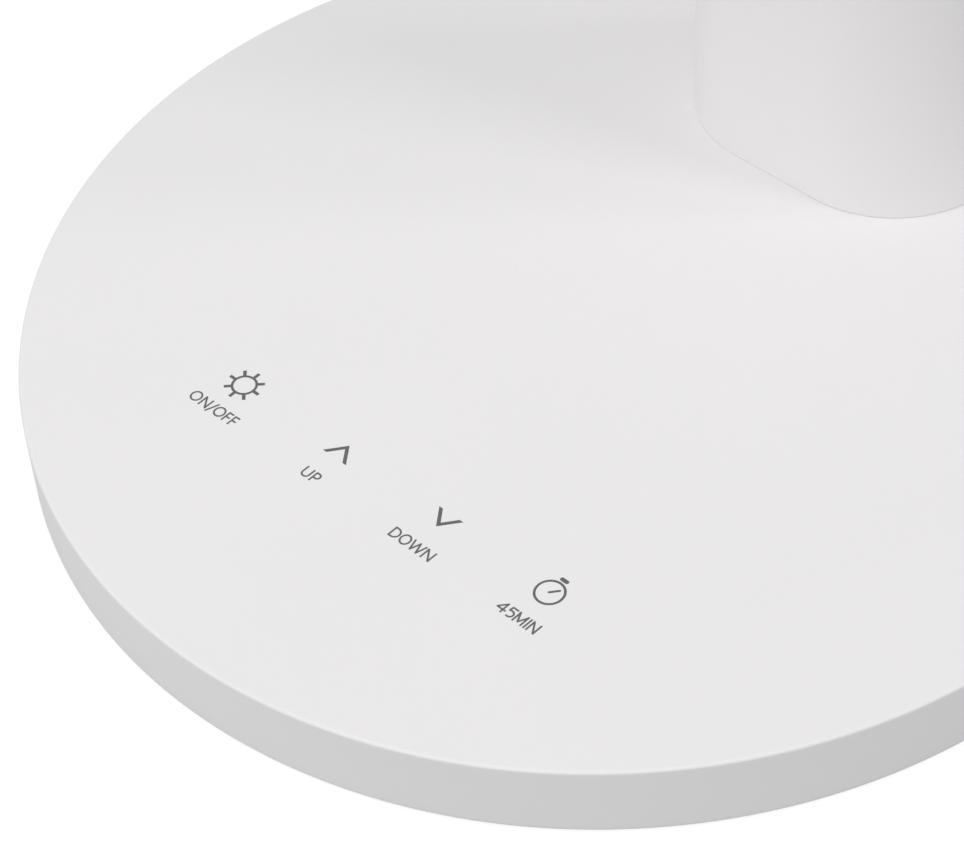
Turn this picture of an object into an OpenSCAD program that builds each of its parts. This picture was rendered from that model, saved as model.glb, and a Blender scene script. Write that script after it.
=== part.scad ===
// Table lamp with a touch panel: a round weighted base, a tapered column at its rear,
// a neck that swivels on the column and a slim light bar that tilts on the neck.
// Millimetres. The origin is the centre of the face that the lamp rests on, +Z is up,
// -Y is the front, where the user sits, and +X is the user's right hand.

/* [Base] */
// Diameter of the round base
base_d = 180; // [160:1:240]
// Height of the base shell, without the pad under it
base_h = 12; // [12:0.5:18]
// Wall of the base shell, top and side
base_wall = 2.2; // [1.8:0.1:3]
// Radius of the rounded rim round the top face
rim_r = 0.5; // [0.3:0.1:1.6]
// Thickness of the non-slip pad that stands proud of the base plate
pad_t = 1; // [0.6:0.1:3]
// Part of the pad's thickness that the side wall hides
pad_cover = 0.4; // [0:0.1:0.7]
// Thickness of the bottom plate
plate_t = 2.4; // [2:0.1:4]
// Diameter of the screw bosses inside the base shell
boss_d = 7; // [6:0.5:9]
// Free space between the screw bosses and the side wall
boss_space = 3; // [2:0.5:6]
// Thread diameter of the base screws
base_screw_d = 3; // [2.5:0.1:4]
// Space that the counterweight leaves round the screw bosses
ballast_space = 0.8; // [0.5:0.1:3]

/* [Touch panel] */
// Distance from one touch key to the next
key_pitch = 21.1; // [16:0.1:28]
// Distance of the row of keys in front of the base centre
key_row = 47.5; // [40:0.5:60]
// Diameter of each copper touch electrode
electrode_d = 13; // [9:0.5:16]
// Thickness of each electrode
electrode_t = 0.4; // [0.2:0.1:0.6]
// Depth of the touch board, front to back
touch_board_w = 22; // [18:0.5:26]
// Margin of the touch board beside its outer electrodes
touch_board_margin = 5; // [2:0.5:6]

/* [Circuit boards] */
// Thickness of both circuit boards
board_t = 1.6; // [1:0.1:1.8]
// Width of the control board
board_w = 32; // [28:1:36]
// Depth of the control board
board_l = 34; // [30:1:38]
// Distance of the control board's left edge from the middle of the lamp
board_x = 26; // [24:1:30]
// Distance of the control board's front edge behind the base centre
board_y = 6; // [0:1:10]
// Height of the posts that carry the control board
standoff_h = 1.4; // [1:0.1:2]

/* [Power inlet] */
// Bore of the inlet, for a barrel plug of 5.5 mm
inlet_bore_d = 5.6; // [4.2:0.1:6]
// Diameter of the centre pin
inlet_pin_d = 2; // [1.6:0.1:2.5]
// Depth of the inlet bore
inlet_depth = 10; // [8:0.5:12]
// Wall of the inlet round its bore
inlet_wall = 0.7; // [0.6:0.1:0.8]

/* [Column] */
// Height of the column above the base
stem_h = 340; // [260:1:420]
// Width of the column at its foot
stem_foot_w = 55; // [46:0.5:70]
// Depth of the column at its foot
stem_foot_d = 40; // [36:0.5:50]
// Corner radius of the column at its foot
stem_foot_r = 19.5; // [15:0.5:20]
// Distance of the column's rear face from the rear edge of the base
stem_margin = 11.4; // [8:0.1:20]
// Diameter of the round neck at the column's top
neck_d = 28; // [26:0.5:34]
// Wall of the two column shells
stem_wall = 2.2; // [1.8:0.1:2.6]
// Outer diameter of the steel post inside the column
post_d = 16; // [15:0.5:18]
// Wall of the steel post
post_wall = 1.5; // [1:0.1:1.8]
// Width of the steel flange under the post
flange_w = 36; // [34:1:40]
// Depth of the steel flange
flange_l = 26; // [25:0.5:30]
// Thickness of the steel flange
flange_t = 2.4; // [2.2:0.1:4]
// Thread diameter of the flange screws
flange_screw_d = 4; // [3:0.5:4]
// Thread diameter of the screws that clamp the column shells to the post
stem_screw_d = 3; // [2.5:0.1:3]
// Height of the lower column screw above the base
stem_screw_low = 46; // [30:1:100]
// Distance of the upper column screw below the column's top
stem_screw_drop = 90; // [70:1:140]
// Diameter of the lead in the post
lead_d = 3.2; // [2:0.1:3.2]

/* [Neck swivel] */
// Diameter of the hollow swivel shaft
shaft_d = 10; // [9:0.1:10.5]
// Bore of the swivel shaft, for the lead
shaft_bore_d = 6; // [5:0.1:7]
// Length of the bearing sleeve in the post
bush_l = 22; // [15:1:40]
// Diameter of the bearing's flange
bush_flange_d = 22; // [20:0.5:23]
// Thickness of the bearing's flange
bush_flange_t = 1.6; // [1.4:0.1:3]
// Visible gap between the column and the turning neck
neck_gap = 0.4; // [0.3:0.1:1]
// Thickness of the friction washer under the bearing
swivel_washer_t = 0.8; // [0.5:0.1:1.5]
// Thickness of the lock nut under the friction washer
swivel_nut_t = 5; // [4:0.5:8]
// Diameter of the stop pin
stop_pin_d = 2; // [1.5:0.1:2]
// Distance of the stop pin from the swivel axis
stop_pin_r = 8.2; // [8:0.1:8.6]
// Turn of the neck to each side
swivel_turn = 90; // [30:5:120]

/* [Head hinge] */
// Amount by which the hinge barrel stands proud of the neck, in front and behind
barrel_step = 1; // [0.5:0.1:4]
// Amount by which each ear stands proud of the neck's side
ear_step = 2; // [1:0.1:5]
// Width of the tongue between the ears
tongue_w = 13.4; // [10:0.1:16]
// Thickness of the tongue where it leaves the barrel
tongue_t = 8; // [6:0.5:9]
// Diameter of the hinge pin
hinge_pin_d = 6; // [5:0.5:7]
// Diameter of the recess in each ear, for the pin's head, its nut and their caps
ear_recess_d = 13; // [12.5:0.5:16]
// Depth of the recess in each ear
ear_recess = 5; // [4.5:0.1:6]
// Thickness of the cap on each ear
cap_t = 1.4; // [1:0.1:2]
// Thickness of each friction washer
tilt_washer_t = 0.3; // [0.2:0.1:1]
// Height of the neck below the hinge's slot
turret_floor = 8; // [7.5:0.5:14]
// Tilt of the head below level
tilt_down = 40; // [20:5:40]

/* [Light bar] */
// Length of the light bar
head_l = 300; // [240:1:400]
// Width of the light bar
head_w = 44; // [42:0.5:60]
// Thickness of the light bar
head_t = 12; // [11.5:0.5:16]
// Corner radius of the light bar, seen from above
head_r = 12; // [8:0.5:16]
// Wall of the upper shell
head_wall = 1.8; // [1.5:0.1:2]
// Space between the light bar and the neck at the lowest tilt
head_clear = 2; // [1:0.5:6]
// Height of the lower frame
bezel_t = 3; // [2.8:0.1:4]
// Lip of the lower frame under the diffuser
bezel_lip_t = 1; // [0.8:0.1:1.2]
// Overlap of the lip on the diffuser's edge
bezel_lip_w = 1.5; // [1:0.1:2.5]
// Width of the lower frame's border beside the diffuser
bezel_border = 2.5; // [2.4:0.1:6]
// Thickness of the tongue's plate inside the light bar
tongue_plate_t = 3.8; // [3:0.1:4]
// Length of the tongue's plate inside the light bar
tongue_plate_l = 34; // [28:1:36]
// Thickness of the heat spreader
spreader_t = 1.2; // [0.8:0.1:1.5]
// Space between the diffuser's edge and the strip that carries the light-emitting diodes
led_board_border = 4.5; // [2:0.5:8]
// Thickness of that strip
led_board_t = 1; // [0.8:0.1:1.2]
// Diodes along one row
led_count = 14; // [6:1:24]
// Distance between the two rows of diodes
led_row_gap = 14; // [8:0.5:18]
// Side of one diode
led_w = 3; // [2:0.1:3.5]
// Diameter of the lead in the light bar
head_lead_d = 1.8; // [1.2:0.1:2]
// Thread diameter of the screws that close the light bar
head_screw_d = 2.2; // [2:0.1:2.6]

/* [Fits] */
// Clearance all round between fixed pieces that fit into one another
fit_gap = 0.02; // [0.01:0.01:0.05]
// Radial clearance of the turning shafts
run_gap = 0.04; // [0.02:0.01:0.1]
// Clearance round covers, boards and plates
loose_gap = 0.3; // [0.2:0.05:0.5]

/* [Hidden] */
$fn = 48;

// Amount by which cutters run past the faces that they open
cut = 1;
// Depth by which bosses run into the wall that carries them
root = 0.6;
// Thickness of the two end slices that the column's outline is drawn between
slice = 0.01;
// Points in each rounded corner of an outline
corner_points = 8;

white = [0.88, 0.88, 0.88];
steel = [0.62, 0.63, 0.65];
zinc = [0.72, 0.73, 0.75];
aluminium = [0.8, 0.81, 0.83];
iron = [0.3, 0.31, 0.33];
copper = [0.8, 0.5, 0.3];
brass = [0.8, 0.66, 0.35];
board_green = [0.1, 0.38, 0.22];
dark_rubber = [0.16, 0.16, 0.17];
black = [0.08, 0.08, 0.09];
natural_resin = [0.93, 0.92, 0.88];
opal = [0.96, 0.96, 0.95];
phosphor = [0.96, 0.86, 0.45];

// Levels of the base
base_r = base_d / 2;
base_bottom = pad_t;
skirt_bottom = base_bottom - pad_cover * pad_t;
base_top = base_bottom + base_h;
base_ceiling = base_top - base_wall;
plate_top = base_bottom + plate_t;
ballast_top = base_ceiling - flange_t;
base_inner_r = base_r - base_wall;
boss_ring_r = base_inner_r - boss_space - boss_d / 2;
ballast_r = boss_ring_r - boss_d / 2 - ballast_space;
base_screw_angles = [45, 135, 225, 315];
base_screw_head_d = 2 * base_screw_d;
base_screw_l = base_ceiling - base_bottom - loose_gap;
pad_r = boss_ring_r - base_screw_head_d;

// Touch panel and boards
touch_keys = 4;
touch_board_l = (touch_keys - 1) * key_pitch + electrode_d + 2 * touch_board_margin;
touch_board_top = base_ceiling - electrode_t;
touch_board_bottom = touch_board_top - board_t;
board_bottom = plate_top + standoff_h;
board_top = board_bottom + board_t;
standoff_d = 4;
standoff_pin_d = 2;
standoff_inset = 3;
board_window = 2;
component_room = base_ceiling - board_top - loose_gap;
// Chips and connectors on the control board: place of the corner, then width, depth and height
blocks = [[9, 15, 6, 5, 1.5], [9, 8, 5, 4, 1.2]];
connectors = [[5, 26.5, 6, 5, 3.2], [14, 26.5, 6, 5, 2.4]];
// Inductor and capacitors: place of the centre, then diameter and height
cans = [[23, 21, 9, 3.4], [22, 11, 5, 3.4], [28, 11, 5, 3.4]];
connector_back = board_y + connectors[0][1] + connectors[0][3];

// Power inlet
inlet_d = inlet_bore_d + 2 * inlet_wall;
inlet_body_w = inlet_d + 2;
inlet_z = plate_top + inlet_d / 2;
inlet_mouth_y = base_r - loose_gap;
inlet_shoulder_y = sqrt(pow(base_inner_r, 2) - pow(inlet_body_w / 2, 2)) - loose_gap;
inlet_floor_y = inlet_mouth_y - inlet_depth;
inlet_back_t = 4;
inlet_back_y = inlet_floor_y - inlet_back_t;
inlet_pin_grip = 3;
inlet_pin_root_d = inlet_pin_d + 1;
inlet_pin_recess = 1;

// Column
stem_y = base_r - stem_margin - stem_foot_d / 2;
stem_top = base_top + stem_h;
post_r = post_d / 2;
post_bore_r = post_r - post_wall;
neck_top = stem_top + neck_gap;
post_top = neck_top - bush_flange_t;
flange_screw_x = flange_w / 2 - flange_screw_d - 1;
flange_screw_y = flange_l / 2 - flange_screw_d;
flange_screw_head_d = 7.4;
flange_screw_head_t = 2.2;
stem_screw_h = [stem_screw_low, stem_h - stem_screw_drop];
stem_screw_head_d = 5.6;
stem_screw_head_t = 2;
stem_boss_d = stem_screw_d + 4;
stem_rear_boss_d = stem_screw_head_d + 2.6;
stem_boss_gap = 0.3;
stem_head_seat = 3.2;
lead_r = lead_d / 2;
lead_x = stem_screw_d / 2 + lead_r + 0.6;
groove_w = lead_d + 2.8;
groove_sink = 2;
groove_floor = board_top - groove_sink;
groove_x = board_x + connectors[0][0] + connectors[0][2] / 2;

// Neck swivel
bush_bottom = post_top - bush_l;
swivel_washer_bottom = bush_bottom - swivel_washer_t;
swivel_nut_bottom = swivel_washer_bottom - swivel_nut_t;
swivel_nut_d = 2 * post_bore_r - 2 * loose_gap;
shaft_grip = 6.5;
stop_groove_depth = 2.4;
stop_pin_rise = 1.8;
stop_pin_sink = 1.2;
stop_room = 0.3;
stop_angle = swivel_turn + asin((stop_pin_d / 2 + stop_room) / stop_pin_r);

// Head hinge
barrel_d = neck_d + 2 * barrel_step;
barrel_w = neck_d + 2 * ear_step;
barrel_r = barrel_d / 2;
slot_r = barrel_r + loose_gap;
slot_w = tongue_w + 2 * tilt_washer_t;
pivot_z = neck_top + turret_floor + slot_r;
ear_seat = barrel_w / 2 - ear_recess;
pin_head_d = 10;
pin_head_t = 2.5;
hinge_nut_w = 10;
hinge_nut_t = 3;
tilt_washer_d = 20;
notch_room = 0.8;
notch_reach = 2 * barrel_r;

// Light bar, measured from the hinge axis: forward is -Y, and 0 is the axis height
bezel_bottom = -head_t / 2;
bezel_top = bezel_bottom + bezel_t;
head_top = head_t / 2;
head_ceiling = head_top - head_wall;
head_gap = (neck_d / 2 + head_clear + head_t / 2 * sin(tilt_down)) / cos(tilt_down);
head_tip = head_gap + head_l;
head_boss_d = 6;
head_screw_inset_x = 5.5;
head_screw_inset_y = 6.5;
head_boss_space = 1.5;
tongue_plate_gap = 0.2;
tongue_plate_w = head_w - 2 * (head_screw_inset_x + head_boss_d / 2 + head_boss_space);
tongue_plate_bottom = bezel_top + tongue_plate_gap;
tongue_plate_top = tongue_plate_bottom + tongue_plate_t;
tongue_plate_end = head_gap + head_wall + tongue_plate_l;
optic_inset_rear = 4;
optic_inset_tip = 12;
optic_start = tongue_plate_end + optic_inset_rear;
optic_end = head_tip - optic_inset_tip;
optic_l = optic_end - optic_start;
optic_mid = (optic_start + optic_end) / 2;
spreader_bottom = head_ceiling - spreader_t;
led_board_bottom = spreader_bottom - led_board_t;
diffuser_w = head_w - 2 * bezel_border;
led_board_w = diffuser_w - 2 * led_board_border;
led_board_l = optic_l - 2 * led_board_border;
led_t = 0.7;
led_pitch = led_board_l / led_count;
reflector_wall = 1.2;
diffuser_bottom = bezel_bottom + bezel_lip_t;
lead_rest = 0.1;
head_lead_z = tongue_plate_top + head_lead_d / 2 + lead_rest;
head_lead_start = head_gap + 2 * head_wall;
head_lead_end = optic_start + led_board_border - lead_rest;
tongue_screw_d = 3;
tongue_screw_edge = 5;
tongue_screw_x = tongue_plate_w / 2 - tongue_screw_edge;
tongue_screw_inset = 9;
tongue_boss_d = 6.5;
tongue_screw_l = head_ceiling - tongue_plate_bottom;

// Routes of the three leads in the base and the column
thin_lead_r = 0.8;
thin_lead_z = ballast_top + thin_lead_r + loose_gap;
touch_lead_x = board_x + board_w / 2;
touch_lead_y = -key_row + touch_board_w / 2;
touch_route = [
    [touch_lead_x, touch_lead_y + lead_rest, thin_lead_z], [touch_lead_x, touch_lead_y + 10, thin_lead_z],
    [touch_lead_x, board_y - 8, thin_lead_z], [touch_lead_x, board_y - 1, thin_lead_z - 0.4],
    [touch_lead_x, board_y + 3, board_top + thin_lead_r + 0.6],
    [touch_lead_x, board_y + 6, board_top + thin_lead_r + lead_rest]
];
inlet_lead_y = inlet_back_y - thin_lead_r - lead_rest;
inlet_lead_x = flange_w / 2 + 3;
inlet_plug_x = board_x + connectors[1][0] + connectors[1][2] / 2;
inlet_plug_z = board_top + connectors[1][4] / 2;
inlet_drop = thin_lead_z - inlet_plug_z;
window_back = board_y + board_l + board_window;
inlet_route = [
    [2, inlet_lead_y, inlet_z], [3, inlet_lead_y, inlet_z + 1.2], [5, inlet_lead_y, thin_lead_z],
    [10, inlet_lead_y, thin_lead_z], [inlet_lead_x - 1, inlet_lead_y - 1, thin_lead_z],
    [inlet_lead_x + 3, inlet_lead_y - 6, thin_lead_z], [inlet_lead_x + 8, stem_y + 4, thin_lead_z],
    [inlet_plug_x + 1, window_back + 6, thin_lead_z],
    [inlet_plug_x, window_back + 1, thin_lead_z],
    [inlet_plug_x, window_back - 0.3, thin_lead_z],
    [inlet_plug_x, window_back - 1.6, inlet_plug_z + inlet_drop * 0.6],
    [inlet_plug_x, window_back - 2.8, inlet_plug_z + inlet_drop * 0.12],
    [inlet_plug_x, connector_back + 1, inlet_plug_z],
    [inlet_plug_x, connector_back + lead_rest, inlet_plug_z]
];
stem_lead_z = groove_floor + lead_r + loose_gap;
stem_lead_y = connector_back + lead_rest;
stem_route = [
    [groove_x, stem_lead_y, board_top + lead_r + lead_rest],
    [groove_x, stem_lead_y + 1, board_top + lead_r + lead_rest],
    [groove_x, stem_lead_y + 4, board_top + lead_r + lead_rest], [groove_x, stem_lead_y + 10, stem_lead_z],
    [groove_x, stem_y - 7, stem_lead_z], [groove_x - 1.6, stem_y - 1.6, stem_lead_z],
    [groove_x - 7, stem_y, stem_lead_z], [12, stem_y, stem_lead_z], [7.6, stem_y, stem_lead_z],
    [4.8, stem_y, stem_lead_z + 1], [lead_x, stem_y, stem_lead_z + 3.6], [lead_x, stem_y, base_top + 6],
    [lead_x, stem_y, base_top + stem_h / 3], [lead_x, stem_y, base_top + stem_h * 2 / 3],
    [lead_x, stem_y, swivel_nut_bottom - 34], [lead_x / 2, stem_y, swivel_nut_bottom - 17],
    [0, stem_y, swivel_nut_bottom - 2], [0, stem_y, bush_bottom + bush_l / 2],
    [0, stem_y, neck_top + turret_floor - loose_gap]
];

// Corner points of a rectangle w by l with rounded corners, centred on the origin
function rounded_rect(w, l, r) = [
    for (q = [0:3], k = [0:corner_points])
        let (a = 90 * (q + k / corner_points),
             sx = (q == 0 || q == 3) ? 1 : -1,
             sy = q < 2 ? 1 : -1)
        [sx * (w / 2 - r) + r * cos(a), sy * (l / 2 - r) + r * sin(a)]
];

function blend(a, b, t) = a + (b - a) * t;

// Outline of the column at height h over the base, drawn in by inset
function stem_outline(h, inset) =
    let (t = h / stem_h,
         w = blend(stem_foot_w, neck_d, t) - 2 * inset,
         l = blend(stem_foot_d, neck_d, t) - 2 * inset,
         r = blend(stem_foot_r, neck_d / 2, t) - inset)
    rounded_rect(w, l, min(r, w / 2, l / 2));

// Distance from the column's axis to its flat front and rear at height h over the base
function stem_half_depth(h) = blend(stem_foot_d, neck_d, h / stem_h) / 2;

function unit(v) = v / norm(v);

// A point between p1 and p2 on a smooth curve through four points
function curve_point(p0, p1, p2, p3, t) =
    0.5 * (2 * p1 + (p2 - p0) * t + (2 * p0 - 5 * p1 + 4 * p2 - p3) * t * t
           + (3 * p1 - p0 - 3 * p2 + p3) * t * t * t);

// Smooth path through the route's points, with steps rings on each stretch
function smooth_path(route, steps) =
    let (last = len(route) - 1)
    concat([for (i = [0:last - 1], k = [0:steps - 1])
                curve_point(route[max(i - 1, 0)], route[i], route[i + 1],
                            route[min(i + 2, last)], k / steps)],
           [route[last]]);

function path_directions(path) =
    [for (i = [0:len(path) - 1]) unit(path[min(i + 1, len(path) - 1)] - path[max(i - 1, 0)])];

// Side directions carried along the path without twist
function carried_sides(directions, i, side) =
    i == len(directions) ? [] :
    let (s = unit(side - (side * directions[i]) * directions[i]))
    concat([s], carried_sides(directions, i + 1, s));

// Round lead of radius r along a route of points
module lead(route, r, side, steps = 3, sides = 8) {
    path = smooth_path(route, steps);
    directions = path_directions(path);
    across = carried_sides(directions, 0, side);
    rings = len(path);
    points = [for (i = [0:rings - 1], j = [0:sides - 1])
                  let (a = 360 * j / sides)
                  path[i] + r * (cos(a) * across[i] + sin(a) * cross(directions[i], across[i]))];
    walls = [for (i = [0:rings - 2], j = [0:sides - 1])
                 let (k = (j + 1) % sides)
                 [i * sides + j, (i + 1) * sides + j, (i + 1) * sides + k, i * sides + k]];
    start = [for (j = [0:sides - 1]) j];
    end = [for (j = [sides - 1:-1:0]) (rings - 1) * sides + j];
    polyhedron(points, concat([start], walls, [end]));
}

module at_stem() {
    translate([0, stem_y, 0]) children();
}

module at_hinge() {
    translate([0, stem_y, pivot_z]) children();
}

module ring_of(angles, r) {
    for (a = angles) translate([r * cos(a), r * sin(a), 0]) children();
}

// Cylinder along X, centred on the origin
module cross_cylinder(d, l) {
    rotate([0, 90, 0]) cylinder(d = d, h = l, center = true);
}

// Cylinder along Y, from y0 towards y1
module deep_cylinder(d, y0, y1) {
    translate([0, y0, 0]) rotate([-90, 0, 0]) cylinder(d = d, h = y1 - y0);
}

// Countersunk screw with its head's flat face at the origin, pointing up
module countersunk_screw(d, head_d, l) {
    head_t = (head_d - d) / 2;
    cylinder(d1 = head_d, d2 = d, h = head_t);
    translate([0, 0, head_t / 2]) cylinder(d = d, h = l - head_t / 2);
}

// Hole for a countersunk screw, from the face that its head is flush with
module countersunk_hole(d, head_d, l) {
    translate([0, 0, -cut]) cylinder(d = head_d + 2 * fit_gap, h = cut);
    countersunk_screw(d + 2 * fit_gap, head_d + 2 * fit_gap, l);
}

// Base

// Half section of the base shell's outside, with the rounded rim
function base_outline() =
    concat([[0, skirt_bottom], [base_r, skirt_bottom]],
           [for (k = [0:corner_points])
                let (a = 90 * k / corner_points)
                [base_r - rim_r + rim_r * cos(a), base_top - rim_r + rim_r * sin(a)]],
           [[0, base_top]]);

// Moulded shell: top face, side wall, screw bosses, the opening for the post and for the inlet
module base_cover() {
    color(white) difference() {
        union() {
            difference() {
                rotate_extrude() polygon(base_outline());
                translate([0, 0, skirt_bottom - cut])
                    cylinder(r = base_inner_r, h = base_ceiling - skirt_bottom + cut);
            }
            ring_of(base_screw_angles, boss_ring_r) translate([0, 0, plate_top])
                cylinder(d = boss_d, h = base_ceiling - plate_top + root);
        }
        ring_of(base_screw_angles, boss_ring_r) translate([0, 0, plate_top - cut])
            cylinder(d = base_screw_d + 2 * fit_gap, h = base_ceiling - plate_top + cut);
        at_stem() translate([0, 0, base_ceiling - cut]) cylinder(d = post_d + 2, h = base_wall + 2 * cut);
        translate([0, 0, inlet_z])
            deep_cylinder(inlet_d + 2 * loose_gap, inlet_shoulder_y - cut, base_r + cut);
    }
}

// Bottom plate with countersunk holes and the posts that carry the control board
module base_plate() {
    color(white) {
        difference() {
            translate([0, 0, base_bottom]) cylinder(r = base_inner_r - loose_gap, h = plate_t);
            ring_of(base_screw_angles, boss_ring_r) translate([0, 0, base_bottom])
                countersunk_hole(base_screw_d, base_screw_head_d, plate_t + cut);
        }
        for (x = [standoff_inset, board_w - standoff_inset], y = [standoff_inset, board_l - standoff_inset])
            translate([board_x + x, board_y + y, plate_top - root]) {
                cylinder(d = standoff_d, h = standoff_h + root);
                cylinder(d = standoff_pin_d, h = standoff_h + root + board_t + loose_gap);
            }
    }
}

// Non-slip pad glued under the plate, inside the ring of screws
module base_pad() {
    color(dark_rubber) cylinder(r = pad_r, h = pad_t);
}

module base_screws() {
    color(steel) ring_of(base_screw_angles, boss_ring_r) translate([0, 0, base_bottom])
        countersunk_screw(base_screw_d, base_screw_head_d, base_screw_l);
}

// Cast counterweight, with room for the control board, the inlet, the lead and the flange screws
module ballast_plate() {
    color(iron) difference() {
        translate([0, 0, plate_top]) cylinder(r = ballast_r, h = ballast_top - plate_top);
        translate([board_x - board_window, board_y - board_window, plate_top - cut])
            cube([board_w + 2 * board_window, board_l + 2 * board_window, ballast_top - plate_top + 2 * cut]);
        translate([-inlet_body_w / 2 - board_window, inlet_back_y - board_window, plate_top - cut])
            cube([inlet_body_w + 2 * board_window, ballast_r, ballast_top - plate_top + 2 * cut]);
        translate([-post_bore_r, stem_y - groove_w / 2, groove_floor])
            cube([groove_x + groove_w / 2 + post_bore_r, groove_w, ballast_top - groove_floor + cut]);
        translate([groove_x - groove_w / 2, board_y + board_l, groove_floor])
            cube([groove_w, stem_y - board_y - board_l, ballast_top - groove_floor + cut]);
        at_stem() for (x = [-flange_screw_x, flange_screw_x], y = [-flange_screw_y, flange_screw_y])
            translate([x, y, plate_top - cut]) {
                cylinder(d = flange_screw_d + 2 * loose_gap, h = ballast_top - plate_top + 2 * cut);
                cylinder(d = flange_screw_head_d + 2 * loose_gap, h = cut + flange_screw_head_t + loose_gap);
            }
    }
}

// Touch panel and control electronics

module touch_board() {
    color(board_green) translate([-touch_board_l / 2, -key_row - touch_board_w / 2, touch_board_bottom])
        cube([touch_board_l, touch_board_w, board_t]);
}

// Copper pads bonded to the underside of the top face, one under each printed key
module touch_electrodes() {
    color(copper) for (k = [0:touch_keys - 1])
        translate([(k - (touch_keys - 1) / 2) * key_pitch, -key_row, touch_board_top])
            cylinder(d = electrode_d, h = electrode_t);
}

// Lead from the touch board, over the counterweight, down to the control board
module touch_lead() {
    color(dark_rubber) lead(touch_route, thin_lead_r, [1, 0, 0]);
}

module control_board() {
    color(board_green) difference() {
        translate([board_x, board_y, board_bottom]) cube([board_w, board_l, board_t]);
        for (x = [standoff_inset, board_w - standoff_inset], y = [standoff_inset, board_l - standoff_inset])
            translate([board_x + x, board_y + y, board_bottom - cut])
                cylinder(d = standoff_pin_d + 2 * fit_gap, h = board_t + 2 * cut);
    }
}

// Driver chip, touch chip, inductor, two capacitors and two connectors on the control board
module control_parts() {
    color(black) translate([board_x, board_y, board_top]) {
        for (b = concat(blocks, connectors)) translate([b[0], b[1], 0]) cube([b[2], b[3], b[4]]);
        for (c = cans) translate([c[0], c[1], 0]) cylinder(d = c[2], h = min(c[3], component_room));
    }
}

// Barrel inlet: a block on the base plate with a round nose in the side wall
module dc_jack() {
    color(black) difference() {
        union() {
            translate([-inlet_body_w / 2, inlet_back_y, plate_top])
                cube([inlet_body_w, inlet_shoulder_y - inlet_back_y, inlet_d]);
            translate([0, 0, inlet_z]) deep_cylinder(inlet_d, inlet_shoulder_y - root, inlet_mouth_y);
        }
        translate([0, 0, inlet_z]) {
            deep_cylinder(inlet_bore_d, inlet_floor_y, inlet_mouth_y + cut);
            deep_cylinder(inlet_pin_root_d + 2 * fit_gap, inlet_floor_y - inlet_pin_grip,
                          inlet_floor_y + cut);
        }
    }
}

// Turned contact pin with a thicker root in the floor of the inlet
module dc_jack_pin() {
    color(brass) translate([0, 0, inlet_z]) {
        deep_cylinder(inlet_pin_root_d, inlet_floor_y - inlet_pin_grip, inlet_floor_y);
        deep_cylinder(inlet_pin_d, inlet_floor_y - root, inlet_mouth_y - inlet_pin_recess);
    }
}

// Lead from the inlet round the flange to the control board
module inlet_lead() {
    color(dark_rubber) lead(inlet_route, thin_lead_r, [0, 0, 1]);
}

// Column

// Flange that the post stands in, between the counterweight and the base shell
module stem_flange() {
    color(steel) at_stem() difference() {
        translate([-flange_w / 2, -flange_l / 2, ballast_top]) cube([flange_w, flange_l, flange_t]);
        translate([0, 0, ballast_top - cut]) cylinder(d = post_d + 2 * fit_gap, h = flange_t + 2 * cut);
        for (x = [-flange_screw_x, flange_screw_x], y = [-flange_screw_y, flange_screw_y])
            translate([x, y, ballast_top - cut])
                cylinder(d = flange_screw_d + 2 * fit_gap, h = flange_t + 2 * cut);
    }
}

// Screws from below, through the counterweight into the flange
module flange_screws() {
    seat = plate_top + flange_screw_head_t + loose_gap;
    color(steel) at_stem() for (x = [-flange_screw_x, flange_screw_x], y = [-flange_screw_y, flange_screw_y])
        translate([x, y, seat]) {
            translate([0, 0, -flange_screw_head_t])
                cylinder(d = flange_screw_head_d, h = flange_screw_head_t);
            translate([0, 0, -root]) cylinder(d = flange_screw_d, h = base_ceiling - seat + root);
        }
}

// Steel tube that carries the neck, cross-drilled for the column screws
module stem_post() {
    color(steel) at_stem() difference() {
        translate([0, 0, ballast_top]) cylinder(r = post_r, h = post_top - ballast_top);
        translate([0, 0, ballast_top - cut]) cylinder(r = post_bore_r, h = post_top - ballast_top + 2 * cut);
        for (h = stem_screw_h) translate([0, 0, base_top + h])
            deep_cylinder(stem_screw_d + 2 * loose_gap, -post_d, post_d);
    }
}

// The column's full outline between two heights over the base
module stem_body(h0, h1, inset) {
    hull() for (h = [h0, h1 - slice])
        translate([0, 0, base_top + h]) linear_extrude(slice) polygon(stem_outline(h, inset));
}

// Hollow column, cut in two along the plane through its axis: side is -1 for the front half
module stem_half(side) {
    intersection() {
        difference() {
            stem_body(0, stem_h, 0);
            stem_body(-cut, stem_h + cut, stem_wall);
        }
        translate([-stem_foot_w, side < 0 ? -stem_foot_d : 0, base_top - cut])
            cube([2 * stem_foot_w, stem_foot_d, stem_h + 2 * cut]);
    }
}

// Front half of the column, with blind bosses for the column screws
module stem_front_shell() {
    color(white) at_stem() difference() {
        union() {
            stem_half(-1);
            for (h = stem_screw_h) translate([0, 0, base_top + h])
                deep_cylinder(stem_boss_d, -stem_half_depth(h) + stem_wall / 2, -post_r - stem_boss_gap);
        }
        for (h = stem_screw_h) translate([0, 0, base_top + h])
            deep_cylinder(stem_screw_d + 2 * fit_gap, -stem_half_depth(h) + stem_wall, 0);
    }
}

// Rear half of the column, with sunk seats for the column screws
module stem_rear_shell() {
    color(white) at_stem() difference() {
        union() {
            stem_half(1);
            for (h = stem_screw_h) translate([0, 0, base_top + h])
                deep_cylinder(stem_rear_boss_d, post_r + stem_boss_gap, stem_half_depth(h) - stem_wall / 2);
        }
        for (h = stem_screw_h) translate([0, 0, base_top + h]) {
            seat = stem_half_depth(h) - stem_head_seat;
            deep_cylinder(stem_screw_d + 2 * loose_gap, 0, stem_foot_d);
            deep_cylinder(stem_screw_head_d + 2 * loose_gap, seat, stem_foot_d);
        }
    }
}

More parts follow.
